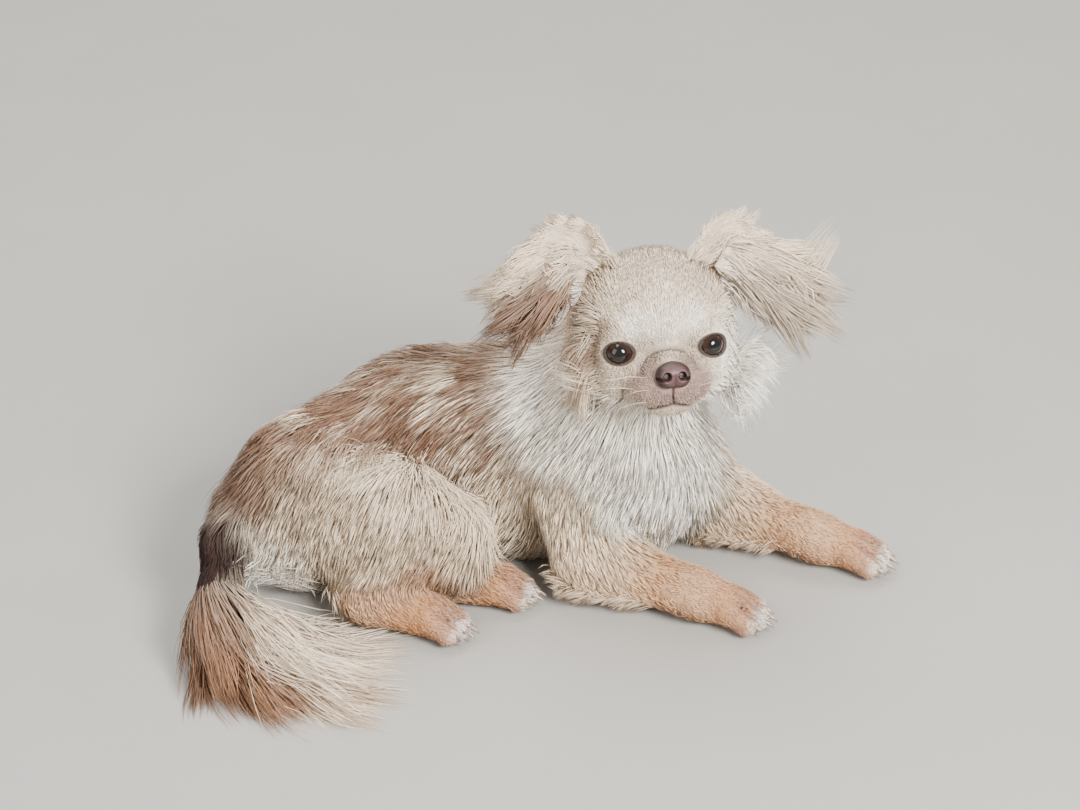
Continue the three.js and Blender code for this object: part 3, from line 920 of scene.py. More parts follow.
def eye_material():
    """A dark iris round a black pupil under a wet cornea, by the angle from the line of sight."""
    material, tree, shader = new_material("eye_gloss")
    bands = tree.nodes.new("ShaderNodeValToRGB")
    stops = bands.color_ramp.elements
    stops[0].position, stops[0].color = 0.0, (0.004, 0.003, 0.003, 1)
    stops[1].position, stops[1].color = 1.0, (0.55, 0.47, 0.44, 1)
    for position, colour in (
        (0.40, (0.004, 0.003, 0.003, 1)),
        (0.46, (0.014, 0.006, 0.004, 1)),
        (0.64, (0.026, 0.010, 0.006, 1)),
        (0.74, (0.008, 0.005, 0.004, 1)),
        (0.86, (0.012, 0.007, 0.006, 1)),
    ):
        stops.new(position).color = colour
    tree.links.new(attribute(tree, "sight").outputs["Fac"], bands.inputs["Fac"])
    shade_by(tree, shader, bands.outputs["Color"], noise(tree, 900.0), 0.7, 1.3)
    set_inputs(
        shader, Roughness=0.10, Specular_IOR_Level=0.3, Coat_Weight=0.6, Coat_Roughness=0.02
    )
    return material


# The skin

FLESH_NODES = (
    "head", "neck", "torso", "tail",
    "front_right_upper_arm", "front_right_forearm", "front_right_paw",
    "front_left_upper_arm", "front_left_forearm", "front_left_paw",
    "rear_right_thigh", "rear_right_shank", "rear_right_foot",
    "rear_left_thigh", "rear_left_foot",
)


# How far the skin lies inside the eyeball at the socket, and outside it at the lids
SOCKET_DEPTH = 0.0012
LID_THICKNESS = 0.0013
MOUTH_CENTRE = np.array((0.012, 0, -0.024))


def lids_and_mouth(q, radius):
    """Moves the skin of the face, in the head's own axes, for the lids, mouth and folds."""
    q = q.copy()
    for side, _ in SIDES:
        from_centre, ahead, opening = eye_place(q, side)
        size = np.linalg.norm(from_centre, axis=1)
        socket = (ahead > 0.0) & (opening < 1.0) & (size < 0.020)
        lid = (ahead > 0.0) & (opening >= 1.0) & (opening < 1.9) & (size < 0.022)
        way = unit(from_centre)
        centre = EYE_ON_HEAD * (1, side, 1)
        q[socket] = (centre + way * (radius - SOCKET_DEPTH))[socket]
        fade = (1.0 - ramp(opening, 1.25, 1.9))[:, None]
        lidded = centre + way * (radius + LID_THICKNESS)
        q[lid] = (q + (lidded - q) * fade)[lid]
    mouth = mouth_distance(q)
    outward = unit(q - MOUTH_CENTRE)
    q = q - outward * (0.0022 * ridge(mouth, 0.0011))[:, None]
    face = ramp(q[:, 0], 0.022, 0.030)
    fold = nose_arc(q, FOLD_RADIUS, 0.0014) * face
    swell = nose_arc(q, SWELL_RADIUS, 0.0022) * face
    q = q + outward * (0.0012 * swell - 0.0016 * fold)[:, None]
    groove = ridge(q[:, 1], 0.0009) * ramp(-q[:, 2], 0.026, 0.029) * face
    return q - outward * (0.0011 * groove * ramp(q[:, 2], -0.037, -0.034))[:, None]


def joined(pieces, name):
    """Joins pieces into one."""
    deselect_all()
    for piece in pieces:
        piece.select_set(True)
    bpy.context.view_layer.objects.active = pieces[0]
    bpy.ops.object.join()
    return named(name)


def copied(pattern, shapes, name):
    """Copies a pattern once for each shape of its corners, and joins the copies in one piece."""
    copies = []
    for shape in shapes:
        copy = pattern.copy()
        copy.data = pattern.data.copy()
        bpy.context.scene.collection.objects.link(copy)
        set_corners(copy.data, shape)
        copies.append(copy)
    bpy.data.objects.remove(pattern)
    return joined(copies, name)


def build_skin(voxel, eye_radius):
    """One skin: round masses joined, drawn on to the flesh and modelled at the face and toes."""
    deselect_all()
    bpy.ops.mesh.primitive_uv_sphere_add(segments=20, ring_count=12, radius=1.0)
    ball = bpy.context.object
    round_shape = corners(ball.data)
    shapes = [
        centre + round_shape @ np.diag(np.maximum(np.array(radii) - 0.004, 0.0035))
        for name in REGIONS for centre, radii in FLESH[name].balls
    ]
    shapes += [
        from_head(*centre) + round_shape @ (np.diag(np.array(radii) - 0.001) @ HEAD_TURN.T)
        for centre, radii in HEAD_LOCAL.balls
    ]
    skin = copied(ball, shapes, "skin")
    apply_modifier(skin, "REMESH", mode="VOXEL", voxel_size=voxel)
    mesh = skin.data
    set_corners(mesh, drawn_to_skin(corners(mesh), body, 5, edges_of(mesh)))
    refine(skin, in_face)
    refine(skin, in_fine_face)
    refine(skin, lambda points: toe_grooves(points) > 0.02)
    points = drawn_to_skin(corners(mesh), body, 2)
    _, outward = depth_and_outward(points)
    groove = 0.0032 * toe_grooves(points) * ramp(points[:, 2], 0.001, 0.004)
    points = points - unit(outward) * groove[:, None]
    local = on_head(points)
    face = (local[:, 0] > 0.004) & (np.abs(local[:, 1]) < 0.042) & (np.abs(local[:, 2]) < 0.055)
    face &= body_region(points) == REGIONS.index("head")
    points[face] = SKULL + lids_and_mouth(local[face], eye_radius) @ HEAD_TURN.T
    points[:, 2] = np.maximum(points[:, 2], FLOOR_CLEAR)
    set_corners(mesh, points)
    smooth(mesh)
    return skin


def in_face(points):
    """Whether each place is on the front of the face."""
    q = on_head(points)
    return (q[:, 0] > 0.012) & (np.abs(q[:, 1]) < 0.040) & (np.abs(q[:, 2] + 0.019) < 0.031)


def in_fine_face(points):
    """Whether each place is by the lids or on a line of the face."""
    q = on_head(points)
    return in_face(points) & ((lid_gap(q) < 1.8) | (face_lines(q, 0.0025) > 0.3))


def refine(skin, where):
    """Divides the faces at a place, where the forms are fine."""
    mesh = skin.data
    middles = read_array(mesh.polygons, "center", 3).astype(float)
    mesh.vertices.foreach_set("select", np.zeros(len(mesh.vertices), bool))
    mesh.edges.foreach_set("select", np.zeros(len(mesh.edges), bool))
    mesh.polygons.foreach_set("select", where(middles))
    mesh.update()
    bpy.ops.object.mode_set(mode="EDIT")
    bpy.ops.mesh.select_mode(type="FACE")
    bpy.ops.mesh.subdivide(number_cuts=1)
    bpy.ops.object.mode_set(mode="OBJECT")


def unwrap(piece):
    """Unwraps a piece by its own shape into the map OFBake."""
    mesh = piece.data
    while mesh.uv_layers:
        mesh.uv_layers.remove(mesh.uv_layers[0])
    mesh.uv_layers.new(name="OFBake")
    select_only(piece)
    bpy.ops.object.mode_set(mode="EDIT")
    bpy.ops.mesh.select_all(action="SELECT")
    bpy.ops.uv.smart_project(angle_limit=math.radians(75), island_margin=0.002)
    bpy.ops.object.mode_set(mode="OBJECT")


# Hair

ROOT_DEPTH = 0.0008
# How thick a lock is for its width
FLATNESS = 0.28


def triangles_of(piece):
    """The corners, normals, unwrap and area of each triangle of a piece."""
    mesh = piece.data
    mesh.calc_loop_triangles()
    verts = read_array(mesh.loop_triangles, "vertices", 3, np.int32)
    loops = read_array(mesh.loop_triangles, "loops", 3, np.int32)
    uv = read_array(mesh.uv_layers["OFBake"].data, "uv", 2).astype(float)
    normals = read_array(mesh.vertex_normals, "vector", 3).astype(float)
    tri = corners(mesh)[verts]
    sides = np.cross(tri[:, 1] - tri[:, 0], tri[:, 2] - tri[:, 0])
    return {
        "points": tri,
        "normals": normals[verts],
        "uv": uv[loops],
        "area": 0.5 * np.linalg.norm(sides, axis=1),
        "middle": tri.mean(1),
    }


def scatter(surface, weight, count, random):
    """Roots spread over a surface, more of them where the weight is higher."""
    share = surface["area"] * weight
    picks = random.choice(len(share), size=count, p=share / share.sum())
    a, b = random.random(count), random.random(count)
    over = a + b > 1
    a[over], b[over] = 1 - a[over], 1 - b[over]
    mix = np.stack([1 - a - b, a, b], axis=1)[:, :, None]
    roots, normals, uv = ((surface[key][picks] * mix).sum(1) for key in ("points", "normals", "uv"))
    return roots, unit(normals), uv


def comb(roots, normals, lie, length, loft, hug, rise, pull, parts):
    """Paths of locks: each leaves the skin, follows its lie at its own height, and droops."""
    flat = unit(lie - normals * (lie * normals).sum(1, keepdims=True))
    way = unit(flat + normals * np.broadcast_to(rise, len(roots))[:, None])
    path = [roots - normals * ROOT_DEPTH]
    here = roots
    for step in range(1, parts + 1):
        before = here
        here = here + way * (length / parts)[:, None]
        depth, out = depth_and_outward(here)
        height = loft * math.sin(min(1.3 * (step / parts), 1.0) * math.pi / 2)
        lack = height - depth
        lift = np.where(lack > 0, np.minimum(lack, 0.006), lack * hug)
        here = here + unit(out) * lift[:, None]
        here[:, 2] = np.maximum(here[:, 2], FLOOR_CLEAR + 0.0006)
        path.append(here)
        way = unit(unit(here - before) + pull)
    return np.stack(path)


def clumped(path, gather, spread, random, size):
    """Draws the tips of neighbouring locks together, and leaves each a little astray."""
    count = path.shape[1]
    guides = random.choice(count, max(count // size, 1), replace=False)
    tree = KDTree(len(guides))
    for i, guide in enumerate(guides):
        tree.insert(path[0, guide], i)
    tree.balance()
    nearest = np.array([guides[tree.find(root)[1]] for root in path[0]])
    steps = np.linspace(0, 1, path.shape[0])[:, None, None]
    drawn = path + (path[:, nearest] - path) * gather * steps**1.5
    astray = random.normal(size=(count, 3)) * np.broadcast_to(spread, count)[:, None]
    drawn = drawn + astray[None] * steps**2
    drawn[1:, :, 2] = np.maximum(drawn[1:, :, 2], FLOOR_CLEAR)
    return drawn, nearest


def lock_faces(rings):
    """The triangles of one closed lock: its root, its sides and its tip."""
    faces = [(0, 1, 2)]
    for k in range(rings - 1):
        for e in range(3):
            a, b = 3 * k + e, 3 * k + (e + 1) % 3
            faces += [(a, a + 3, b + 3), (a, b + 3, b)]
    last, tip = 3 * (rings - 1), 3 * rings
    return np.array(faces + [(last + e, tip, last + (e + 1) % 3) for e in range(3)], np.int32)


def lock_mesh(name, path, normals, uv, width, thick, colour, shade=1.0, root_shade_tip_light=(1.0, 1.0)):
    """One mesh of closed, three-sided, tapering locks along their paths."""
    rings, count = path.shape[0] - 1, path.shape[1]
    # Each lock is painted darker at its root and lighter at its tip: painted shade deep in the coat
    # and painted light on the tips
    root_colour, tip_colour = (
        np.clip(colour * np.broadcast_to(tone * shade, count)[:, None], 0, 1) for tone in root_shade_tip_light
    )
    per_lock = 3 * rings + 1
    points = np.empty((count, per_lock, 3))
    shades = np.empty((count, per_lock, 3))
    spots = np.empty((count, per_lock, 2))
    for k in range(rings):
        share = k / rings
        along = unit(path[k + 1] - path[max(k - 1, 0)])
        across = unit(np.cross(along, normals))
        proud = np.cross(across, along)
        taper = (0.45 + 1.3 * share) if share < 0.4 else (1.0 - share) ** 0.75 * 1.42
        half = (width / 2 * taper)[:, None]
        high = (thick * (1.0 - 0.6 * share))[:, None]
        points[:, 3 * k] = path[k] + across * half
        points[:, 3 * k + 1] = path[k] + proud * high
        points[:, 3 * k + 2] = path[k] - across * half
        for e in range(3):
            shades[:, 3 * k + e] = root_colour + (tip_colour - root_colour) * share
            spots[:, 3 * k + e] = uv + UV_PATCH * np.array((e / 2, share))
    points[:, -1] = path[-1]
    shades[:, -1] = tip_colour
    spots[:, -1] = uv + UV_PATCH * np.array((0.5, 1.0))
    first = np.arange(count, dtype=np.int32)[:, None, None] * per_lock
    every = (first + lock_faces(rings)[None]).reshape(-1, 3)
    mesh = bpy.data.meshes.new(name)
    mesh.vertices.add(count * per_lock)
    mesh.vertices.foreach_set("co", points.astype(np.float32).ravel())
    mesh.loops.add(every.size)
    mesh.loops.foreach_set("vertex_index", every.ravel())
    mesh.polygons.add(len(every))
    mesh.polygons.foreach_set("loop_start", np.arange(0, every.size, 3, dtype=np.int32))
    mesh.update(calc_edges=True)
    layer = mesh.uv_layers.new(name="OFBake")
    corner_spots = spots.reshape(-1, 2)[every.ravel()]
    layer.data.foreach_set("uv", corner_spots.astype(np.float32).ravel())
    add_colour(mesh, shades.reshape(-1, 3))
    smooth(mesh)
    piece = bpy.data.objects.new(name, mesh)
    bpy.context.scene.collection.objects.link(piece)
    return piece


def inner_side(points, foot):
    """How far each place of the tail lies on the side towards the legs and upwards."""
    return points[:, 0] - foot[:, 0] + 0.4 * (points[:, 2] - foot[:, 2])


def tail_lie(points):
    """The lie of the tail's hair: along it near its root, and a fan from side to side beyond."""
    share, foot, way = along_line(points, TAIL)
    inner = ramp(inner_side(points, foot), -0.011, 0.010)
    angle = -82.0 + 84.0 * inner - 24.0 * inner * (1 - ramp(share, 0.45, 0.85))
    angle = np.radians(angle + 9.0 * ripple(points, 0.012, 61))
    fan = np.stack([np.cos(angle), np.sin(angle), -0.30 + 0.22 * share], axis=1)
    loose = ramp(share, 0.36, 0.52)[:, None]
    return way * (1.0 - loose) + fan * loose


def lie_of(points, shares):
    """Which way the coat lies at each place, turning smoothly from one region into the next."""
    _, foot, way = along_line(points, SPINE)
    side = unit((points - foot) * (1, 1, 0))
    away = unit(points - from_head(0.050, 0.0, -0.020))
    local = on_head(points)
    sideways = np.sign(local[:, 1])[:, None] * head_way(0, 1, 0)
    cheek = ramp(np.abs(local[:, 1]), 0.020, 0.034) * ramp(0.010 - local[:, 2], 0.0, 0.02)
    head = away + cheek[:, None] * (sideways * 0.9 + np.array((0, 0, -0.5)))
    for eye_side, _ in SIDES:
        from_eye = points - from_head(*(EYE_ON_HEAD * (1, eye_side, 1)))
        gap = np.linalg.norm(from_eye, axis=1)
        head = head + unit(from_eye) * (1.6 * (1 - ramp(gap, 0.010, 0.020)))[:, None]
    lies = {
        "torso": -0.85 * way + 0.35 * side + np.array((-0.10, -0.05, -0.95)),
        "thigh": rows((-0.45, -0.35, -0.8), len(points)),
        "neck": away * 0.7 + np.array((0, 0, -0.9)) + sideways * 0.35,
        "head": head,
        "tail": tail_lie(points),
    }
    for _, word in SIDES:
        shoulder, elbow, wrist, toe = FORELEGS[word]
        _, knee, hock, hind_toe = HINDLEGS[word]
        arm = (elbow - shoulder) * 12 + np.array((-0.2, -0.1, -0.5))
        lies["arm_" + word] = rows(arm, len(points))
        lies["forearm_" + word] = rows(wrist - elbow, len(points))
        lies["paw_" + word] = rows(toe - wrist, len(points))
        if "shank_" + word in shares:
            lies["shank_" + word] = rows(hock - knee, len(points))
        lies["foot_" + word] = rows(hind_toe - hock, len(points))
    return unit(sum(unit(lie) * shares[name][:, None] for name, lie in lies.items()))


# The length of the hair and its height over the skin, by the kind of region
HAIR_LENGTH = {
    "torso": 0.037, "neck": 0.042, "tail": 0.018, "thigh": 0.032, "shank": 0.0065,
    "arm": 0.014, "forearm": 0.0060, "paw": 0.0027, "foot": 0.0027,
}
HAIR_LOFT = {
    "torso": 0.0088, "neck": 0.0115, "tail": 0.0030, "thigh": 0.0068, "shank": 0.0022,
    "arm": 0.0048, "forearm": 0.0020, "paw": 0.0008, "foot": 0.0008,
}


def head_hair_size(q):
    """How long the hair of the head is at each place, and how high it stands."""
    forward, up, side = q[:, 0], q[:, 2], np.abs(q[:, 1])
    face = 0.0042 + 0.0065 * ramp(0.024 - forward, 0.0, 0.022) + 0.0035 * ramp(up, 0.0, 0.014)
    face = face * (1 - 0.50 * ramp(forward, 0.026, 0.036) * ramp(-up, 0.0, 0.010))
    face = face * (1 - 0.55 * ridge(mouth_distance(q), 0.005))
    face = face * (0.45 + 0.55 * ramp(lid_gap(q), 1.3, 2.4))
    low = ramp(0.010 - up, 0.0, 0.016) * ramp(0.022 - forward, 0.0, 0.012)
    throat = ramp(-up, 0.034, 0.044) * ramp(0.026 - forward, 0.0, 0.012)
    jowl = np.maximum(ramp(side, 0.022, 0.034) * low, throat)
    ear_root = spot(folded(q), (0.004, 0.034, 0.018), (0.018, 0.014, 0.016))
    length = face + 0.010 * ear_root + (0.026 + 0.012 * ramp(q[:, 1], 0.0, 0.02)) * jowl
    loft = 0.0009 + 0.0026 * ramp(0.022 - forward, 0.0, 0.022) + 0.003 * jowl + 0.003 * ear_root
    return length, loft


def hair_size(points, shares):
    """How long the hair is at each place, and how high it stands over the skin."""
    length, loft = (size * shares["head"] for size in head_hair_size(on_head(points)))
    for kind in HAIR_LENGTH:
        length = length + HAIR_LENGTH[kind] * shares[kind]
        loft = loft + HAIR_LOFT[kind] * shares[kind]
    low_body = (shares["torso"] + shares["thigh"]) * ramp(0.06 - points[:, 2], 0.0, 0.04)
    share, foot, _ = along_line(points, TAIL)
    plume = shares["tail"] * ramp(share, 0.34, 0.50)
    towards_legs = ramp(inner_side(points, foot), -0.008, 0.010)
    plume_length = 0.050 + 0.034 * towards_legs - 0.008 * ramp(share, 0.7, 1.0)
    return length * (1 + 0.5 * low_body) + plume * plume_length, loft + 0.002 * plume


def patch_weights(surface, region):
    """Where each piece of the coat grows on the skin, by its name."""
    middle = surface["middle"]
    kind = np.array([name.split("_")[0] for name in REGIONS])[region]
    local = on_head(middle)
    forward, side, up = local[:, 0], np.abs(local[:, 1]), local[:, 2]
    model = middle - MODEL_TO_FRAME
    head = kind == "head"
    nose_gap = np.linalg.norm(local - NOSE_AT, axis=1)
    clear = (lid_gap(local) > 1.14) & (nose_gap > 0.0102)
    cheek = head & (side > 0.022) & (up < 0.012) & (forward < 0.019)
    cheek |= head & (up < -0.034) & (forward < 0.020)
    crown = head & ~cheek & (forward < 0.012)
    bare = 1 - ramp(face_lines(local, 0.0014), 0.15, 0.5)
    above = middle[:, 2] > 0.006
    spine = np.array(SPINE) - MODEL_TO_FRAME
    near_side = model[:, 1] < np.interp(model[:, 0], spine[:, 0], spine[:, 1])
    chest = (kind == "torso") & (model[:, 0] > 0.046)
    flank = (kind == "torso") & ~chest & above
    foot = np.isin(kind, ("paw", "foot", "shank"))
    foot = foot * np.where(middle[:, 2] > 0.003, 1.0, 0.1)
    tuft = head * ramp(side, 0.026, 0.034) * ramp(0.010 - up, 0.0, 0.012)
    tuft = tuft * (forward < 0.014) * np.where(local[:, 1] > 0, 1.0, 0.6)
    return {
        "coat_face": (head & ~cheek & ~crown & clear) * bare,
        "coat_crown": crown,
        "coat_cheeks": (cheek & clear) * bare,
        "coat_ruff": kind == "neck",
        "coat_chest": chest & above,
        "coat_flank_right": flank & near_side,
        "coat_flank_left": flank & ~near_side,
        "coat_thighs": (kind == "thigh") & above,
        "coat_forelegs": np.isin(kind, ("arm", "forearm")) & above,
        "coat_feet": foot * (1 - ramp(toe_grooves(middle), 0.1, 0.6)),
        "coat_tail": (kind == "tail") * (0.4 + ramp(along_line(middle, TAIL)[0], 0.2, 0.5)),
        "side_tufts": tuft,
    }


# For each piece of the coat: its number of locks, the parts along a lock and a lock's width,
# how closely it is held to its height and how far it stands up at its root, how strongly it
# gathers in tufts, how much its lie varies, its droop, and the number of locks in a tuft
COAT = {
    "coat_face": (12500, 2, 0.00070, 0.75, 0.32, 0.22, 0.14, 0.0, 14),
    "coat_crown": (9500, 2, 0.00088, 0.65, 0.38, 0.30, 0.14, 0.0, 14),
    "coat_cheeks": (3600, 4, 0.00100, 0.30, 0.60, 0.50, 0.16, 0.16, 14),
    "coat_ruff": (8000, 3, 0.0012, 0.45, 0.55, 0.32, 0.13, 0.18, 20),
    "coat_chest": (6200, 3, 0.0012, 0.75, 0.40, 0.30, 0.11, 0.15, 14),
    "coat_flank_right": (10500, 3, 0.00102, 0.85, 0.28, 0.27, 0.10, 0.10, 20),
    "coat_flank_left": (6800, 3, 0.0013, 0.85, 0.28, 0.27, 0.10, 0.10, 20),
    "coat_thighs": (9500, 3, 0.00105, 0.85, 0.26, 0.26, 0.10, 0.10, 20),
    "coat_forelegs": (6500, 2, 0.0010, 0.9, 0.25, 0.30, 0.10, 0.05, 14),
    "coat_feet": (7000, 2, 0.00085, 0.9, 0.20, 0.10, 0.10, 0.0, 14),
    "coat_tail": (7200, 4, 0.0011, 0.80, 0.14, 0.62, 0.10, 0.10, 22),
    "side_tufts": (2000, 4, 0.0011, 0.05, 0.35, 0.62, 0.13, 0.13, 34),
}


def side_tuft_lie(q):
    """The lie and the length of the long tufts at the sides of the head."""
    side = np.sign(q[:, 1])
    down = 0.38 + 0.9 * ramp(q[:, 2], -0.012, 0.008)
    lie = side[:, None] * head_way(0, 1, 0) + head_way(-0.15, 0, -1.0) * down[:, None]
    length = np.where(side > 0, 0.050, 0.034) * (1 - 0.50 * ramp(q[:, 2], -0.012, 0.006))
    return lie, length


def grow_coat(name, surface, weight, seed):
    """Grows one piece of the coat from its roots on the skin."""
    count, parts, width, hug, rise, gather, vary, droop, tuft = COAT[name]
    random = np.random.default_rng(seed)
    roots, normals, uv = scatter(surface, weight, count, random)
    shares = region_shares(roots, 0.009 if width > 0.0008 else 0.004)
    lie = lie_of(roots, shares)
    length, loft = hair_size(roots, shares)
    pull = rows((0.0, 0.0, -droop), count)
    if name == "side_tufts":
        lie, length = side_tuft_lie(on_head(roots))
    if name == "coat_tail":
        loose = ramp(along_line(roots, TAIL)[0], 0.34, 0.50)
        hug = hug * (1 - 0.97 * loose)
        pull = pull + np.array((0.07, 0.02, 0.0)) * loose[:, None]
    lie = unit(lie + random.normal(size=lie.shape) * vary)
    long = length * random.uniform(0.65, 1.25, count)
    height = loft * random.uniform(0.35, 1.0, count)
    stand = rise * random.uniform(0.4, 1.3, count)
    path = comb(roots, normals, lie, long, height, hug, stand, pull, parts)
    path, nearest = clumped(path, gather, 0.03 * length, random, tuft)
    shade = 1.0 + 0.07 * random.normal(size=count) + 0.08 * random.normal(size=count)[nearest]
    streak = 0.9 * random.uniform(-1, 1, count)[nearest] + 0.25 * random.normal(size=count)
    colour = markings(roots, streak)
    colour = colour[nearest] * 0.5 + colour * 0.5
    wide = width * random.uniform(0.6, 1.35, count)
    thick = wide * FLATNESS
    # Painted shade at the roots and painted light at the tips
    return lock_mesh(name, path, normals, uv, wide, thick, colour, shade, (0.90, 1.06))


# Ears

EAR_WIDTH = 0.031
EAR_THICK = 0.0022
EAR_ROWS = 30
EAR_COLUMNS = 14


def curve_through(points, shares):
    """Places along a smooth curve through points."""
    points = np.array(points)
    ends = np.vstack([2 * points[0] - points[1], points, 2 * points[-1] - points[-2]])
    pieces = len(points) - 1
    out = []
    for share in shares:
        place_on = min(share * pieces, pieces - 1e-6)
        i = int(place_on)
        t = place_on - i
        a, b, c, d = ends[i:i + 4]
        bend, turn = 2 * a - 5 * b + 4 * c - d, 3 * b - a - 3 * c + d
        out.append(0.5 * (2 * b + (c - a) * t + bend * t * t + turn * t**3))
    return np.array(out)


def ear_line(side):
    """The middle line of an ear, from the skull over its fold to its tip."""
    fold_height, tip_height = (0.041, 0.020) if side > 0 else (0.047, 0.028)
    base = from_head(-0.002, side * 0.029, 0.026)
    fold = from_head(-0.002, side * 0.043, fold_height)
    tip = from_head(0.008, side * 0.067, tip_height)
    return [base, base + (fold - base) * 0.55, fold, fold + (tip - fold) * 0.5, tip]


def ear_front(side):
    """The way out of an ear's cup."""
    return head_way(1, side * 0.25, 0)


def build_ear(side, name):
    """A leaf of ear leather, cupped towards the front and folding over at its top."""
    deselect_all()
    bpy.ops.mesh.primitive_grid_add(x_subdivisions=EAR_COLUMNS, y_subdivisions=EAR_ROWS, size=2.0)
    ear = named(name)
    flat = corners(ear.data)
    shares = (flat[:, 1] + 1) / 2
    line = curve_through(ear_line(side), shares * 0.985)
    ahead = curve_through(ear_line(side), np.clip(shares + 0.02, 0, 1))
    behind = curve_through(ear_line(side), np.clip(shares - 0.02, 0, 1))
    along = unit(ahead - behind)
    across = unit(np.cross(along, ear_front(side)))
    front = np.cross(across, along)
    narrowing = (np.abs(shares - 0.35) / 0.68) ** 2.4
    width = (EAR_WIDTH / 2) * np.sqrt(np.maximum(0.02, 1 - narrowing))
    cup = 0.009 * (1 - shares) + 0.0025
    s = flat[:, 0]
    points = line + across * (s * width)[:, None] + front * (cup * s * s - cup * 0.5)[:, None]
    wave = 0.0008 * np.sin(s * 9 + shares * 14) * (1 - shares)
    set_corners(ear.data, points + front * wave[:, None])
    apply_modifier(ear, "SOLIDIFY", thickness=EAR_THICK, offset=0.0)
    apply_modifier(ear, "SUBSURF", levels=1, render_levels=1)
    turned_outwards(ear)
    unwrap(ear)
    # The leather is painted darker than its markings: painted shade under the fringe
    add_colour(ear.data, ear_markings(corners(ear.data), side) * SHADE_UNDER_COAT)
    return ear


def ear_markings(points, side):
    """The ear's colours: cream, whiter along its inner edge, rust-brown in the right ear's cup, and
    a painted shadow in the left ear's cup.
    """
    q = on_head(points)
    share, foot, _ = along_line(points, ear_line(side))
    n = ripple(points, 0.010, 31)
    inner = ramp(foot[:, 2] - points[:, 2], -0.004, 0.012)
    colour = one_colour(len(q), CREAM, GREY_FAWN, 0.25)
    colour = blended(colour, WHITE, 0.8 * inner * (1 - ramp(share, 0.45, 0.75)))
    astray = q + 0.002 * n[:, None]
    if side < 0:
        rust = spot(astray, (0.004, -0.053, 0.026), (0.022, 0.015, 0.012))
        tan = 0.55 * ramp(n, -0.1, 0.8) * ramp(share, 0.4, 0.7)
        return painted(colour, (TAN, tan), (RED_BROWN, 0.85 * rust))
    shadow = spot(astray, (0.004, 0.052, 0.024), (0.018, 0.012, 0.009))
    return blended(colour, GREY_FAWN * 0.7, 0.7 * shadow)


def ear_hair(ear, side, name, seed):
    """The long fringe of an ear: it falls outwards from the top, and down from the lower edge."""
    random = np.random.default_rng(seed)
    count = 5000
    surface = triangles_of(ear)
    front = ear_front(side)
    share, foot, _ = along_line(surface["middle"], ear_line(side))
    cup = ramp((surface["middle"] - foot) @ front, -0.001, 0.001) * ridge(share - 0.5, 0.22)
    weight = (0.9 + 0.5 * ramp(share, 0.15, 0.5)) * (1 - 0.15 * cup)
    roots, normals, uv = scatter(surface, weight, count, random)
    share, foot, way = along_line(roots, ear_line(side))
    out = head_way(-0.05, side * 1.0, 0.12)
    down = head_way(0.05, side * 0.30, -1.0)
    low = ramp(foot[:, 2] - roots[:, 2], -0.008, 0.008)[:, None]
    lie = way * 0.9 + out * (1.0 - 0.6 * low) + down * (0.05 + 0.85 * low)
    lie = unit(lie + unit(roots - foot) * 0.35)
    lie = unit(lie + random.normal(size=lie.shape) * 0.16)
    above = ramp(roots[:, 2] - foot[:, 2], -0.002, 0.008) * (1 - ramp(share, 0.5, 0.85))
    in_cup = ramp((roots - foot) @ front, -0.001, 0.0008) * ridge(share - 0.45, 0.25)
    long = 0.012 + 0.026 * ramp(share, 0.30, 0.85) + 0.014 * low[:, 0]
    long = random.uniform(0.6, 1.25, count) * long * (1 - 0.25 * above) * (1 - 0.40 * in_cup)
    pull = rows((0.0, 0.0, -0.06), count) + head_way(0, side, 0) * 0.05
    path = comb(roots, normals, lie, long, 0.001, 0.0, 0.15, pull, 3)
    path, nearest = clumped(path, 0.78, 0.0012, random, 44)
    shade = 1.0 + 0.07 * random.normal(size=count) + 0.07 * random.normal(size=count)[nearest]
    wide = 0.00105 * random.uniform(0.6, 1.3, count)
    thick, colour = wide * FLATNESS, ear_markings(roots, side)
    # Painted shade at the roots and painted light at the tips
    return lock_mesh(name, path, normals, uv, wide, thick, colour, shade, (0.85, 1.05))


def feathers(surface, region):
    """The loose feathering behind each forearm."""
    random = np.random.default_rng(71)
    count = 1000
    middle = surface["middle"]
    weight = np.zeros(len(middle))
    for _, word in SIDES:
        _, elbow, wrist, _ = FORELEGS[word]
        along = direction(wrist - elbow)
        low = ramp(0.016 - middle[:, 2], -0.004, 0.006)
        low = low * (1 - ramp((middle - elbow) @ along, 0.030, 0.052))
        here = np.isin(region, [REGIONS.index(kind + word) for kind in ("forearm_", "arm_")])
        behind = -((middle - (elbow + wrist) / 2) @ np.cross(UP, along))
        weight += here * low * ramp(behind, -0.002, 0.008)
    roots, normals, uv = scatter(surface, weight + 1e-9, count, random)
    lie = unit(rows((-0.80, -0.35, -0.25), count) + random.normal(size=(count, 3)) * 0.18)
    long = random.uniform(0.007, 0.019, count)
    pull = rows((-0.08, -0.02, -0.12), count)
    path = comb(roots, normals, lie, long, 0.001, 0.0, 0.3, pull, 4)
    path, nearest = clumped(path, 0.65, 0.0006, random, 14)
    colour = one_colour(count, CREAM, TAN, 0.35)
    shade = 1.0 + 0.08 * random.normal(size=count)[nearest]
    wide = 0.0011 * random.uniform(0.6, 1.3, count)
    thick = np.full(count, 0.0003)
    # Painted shade at the roots
    return lock_mesh("feathering", path, normals, uv, wide, thick, colour, shade, (0.8, 1.0))


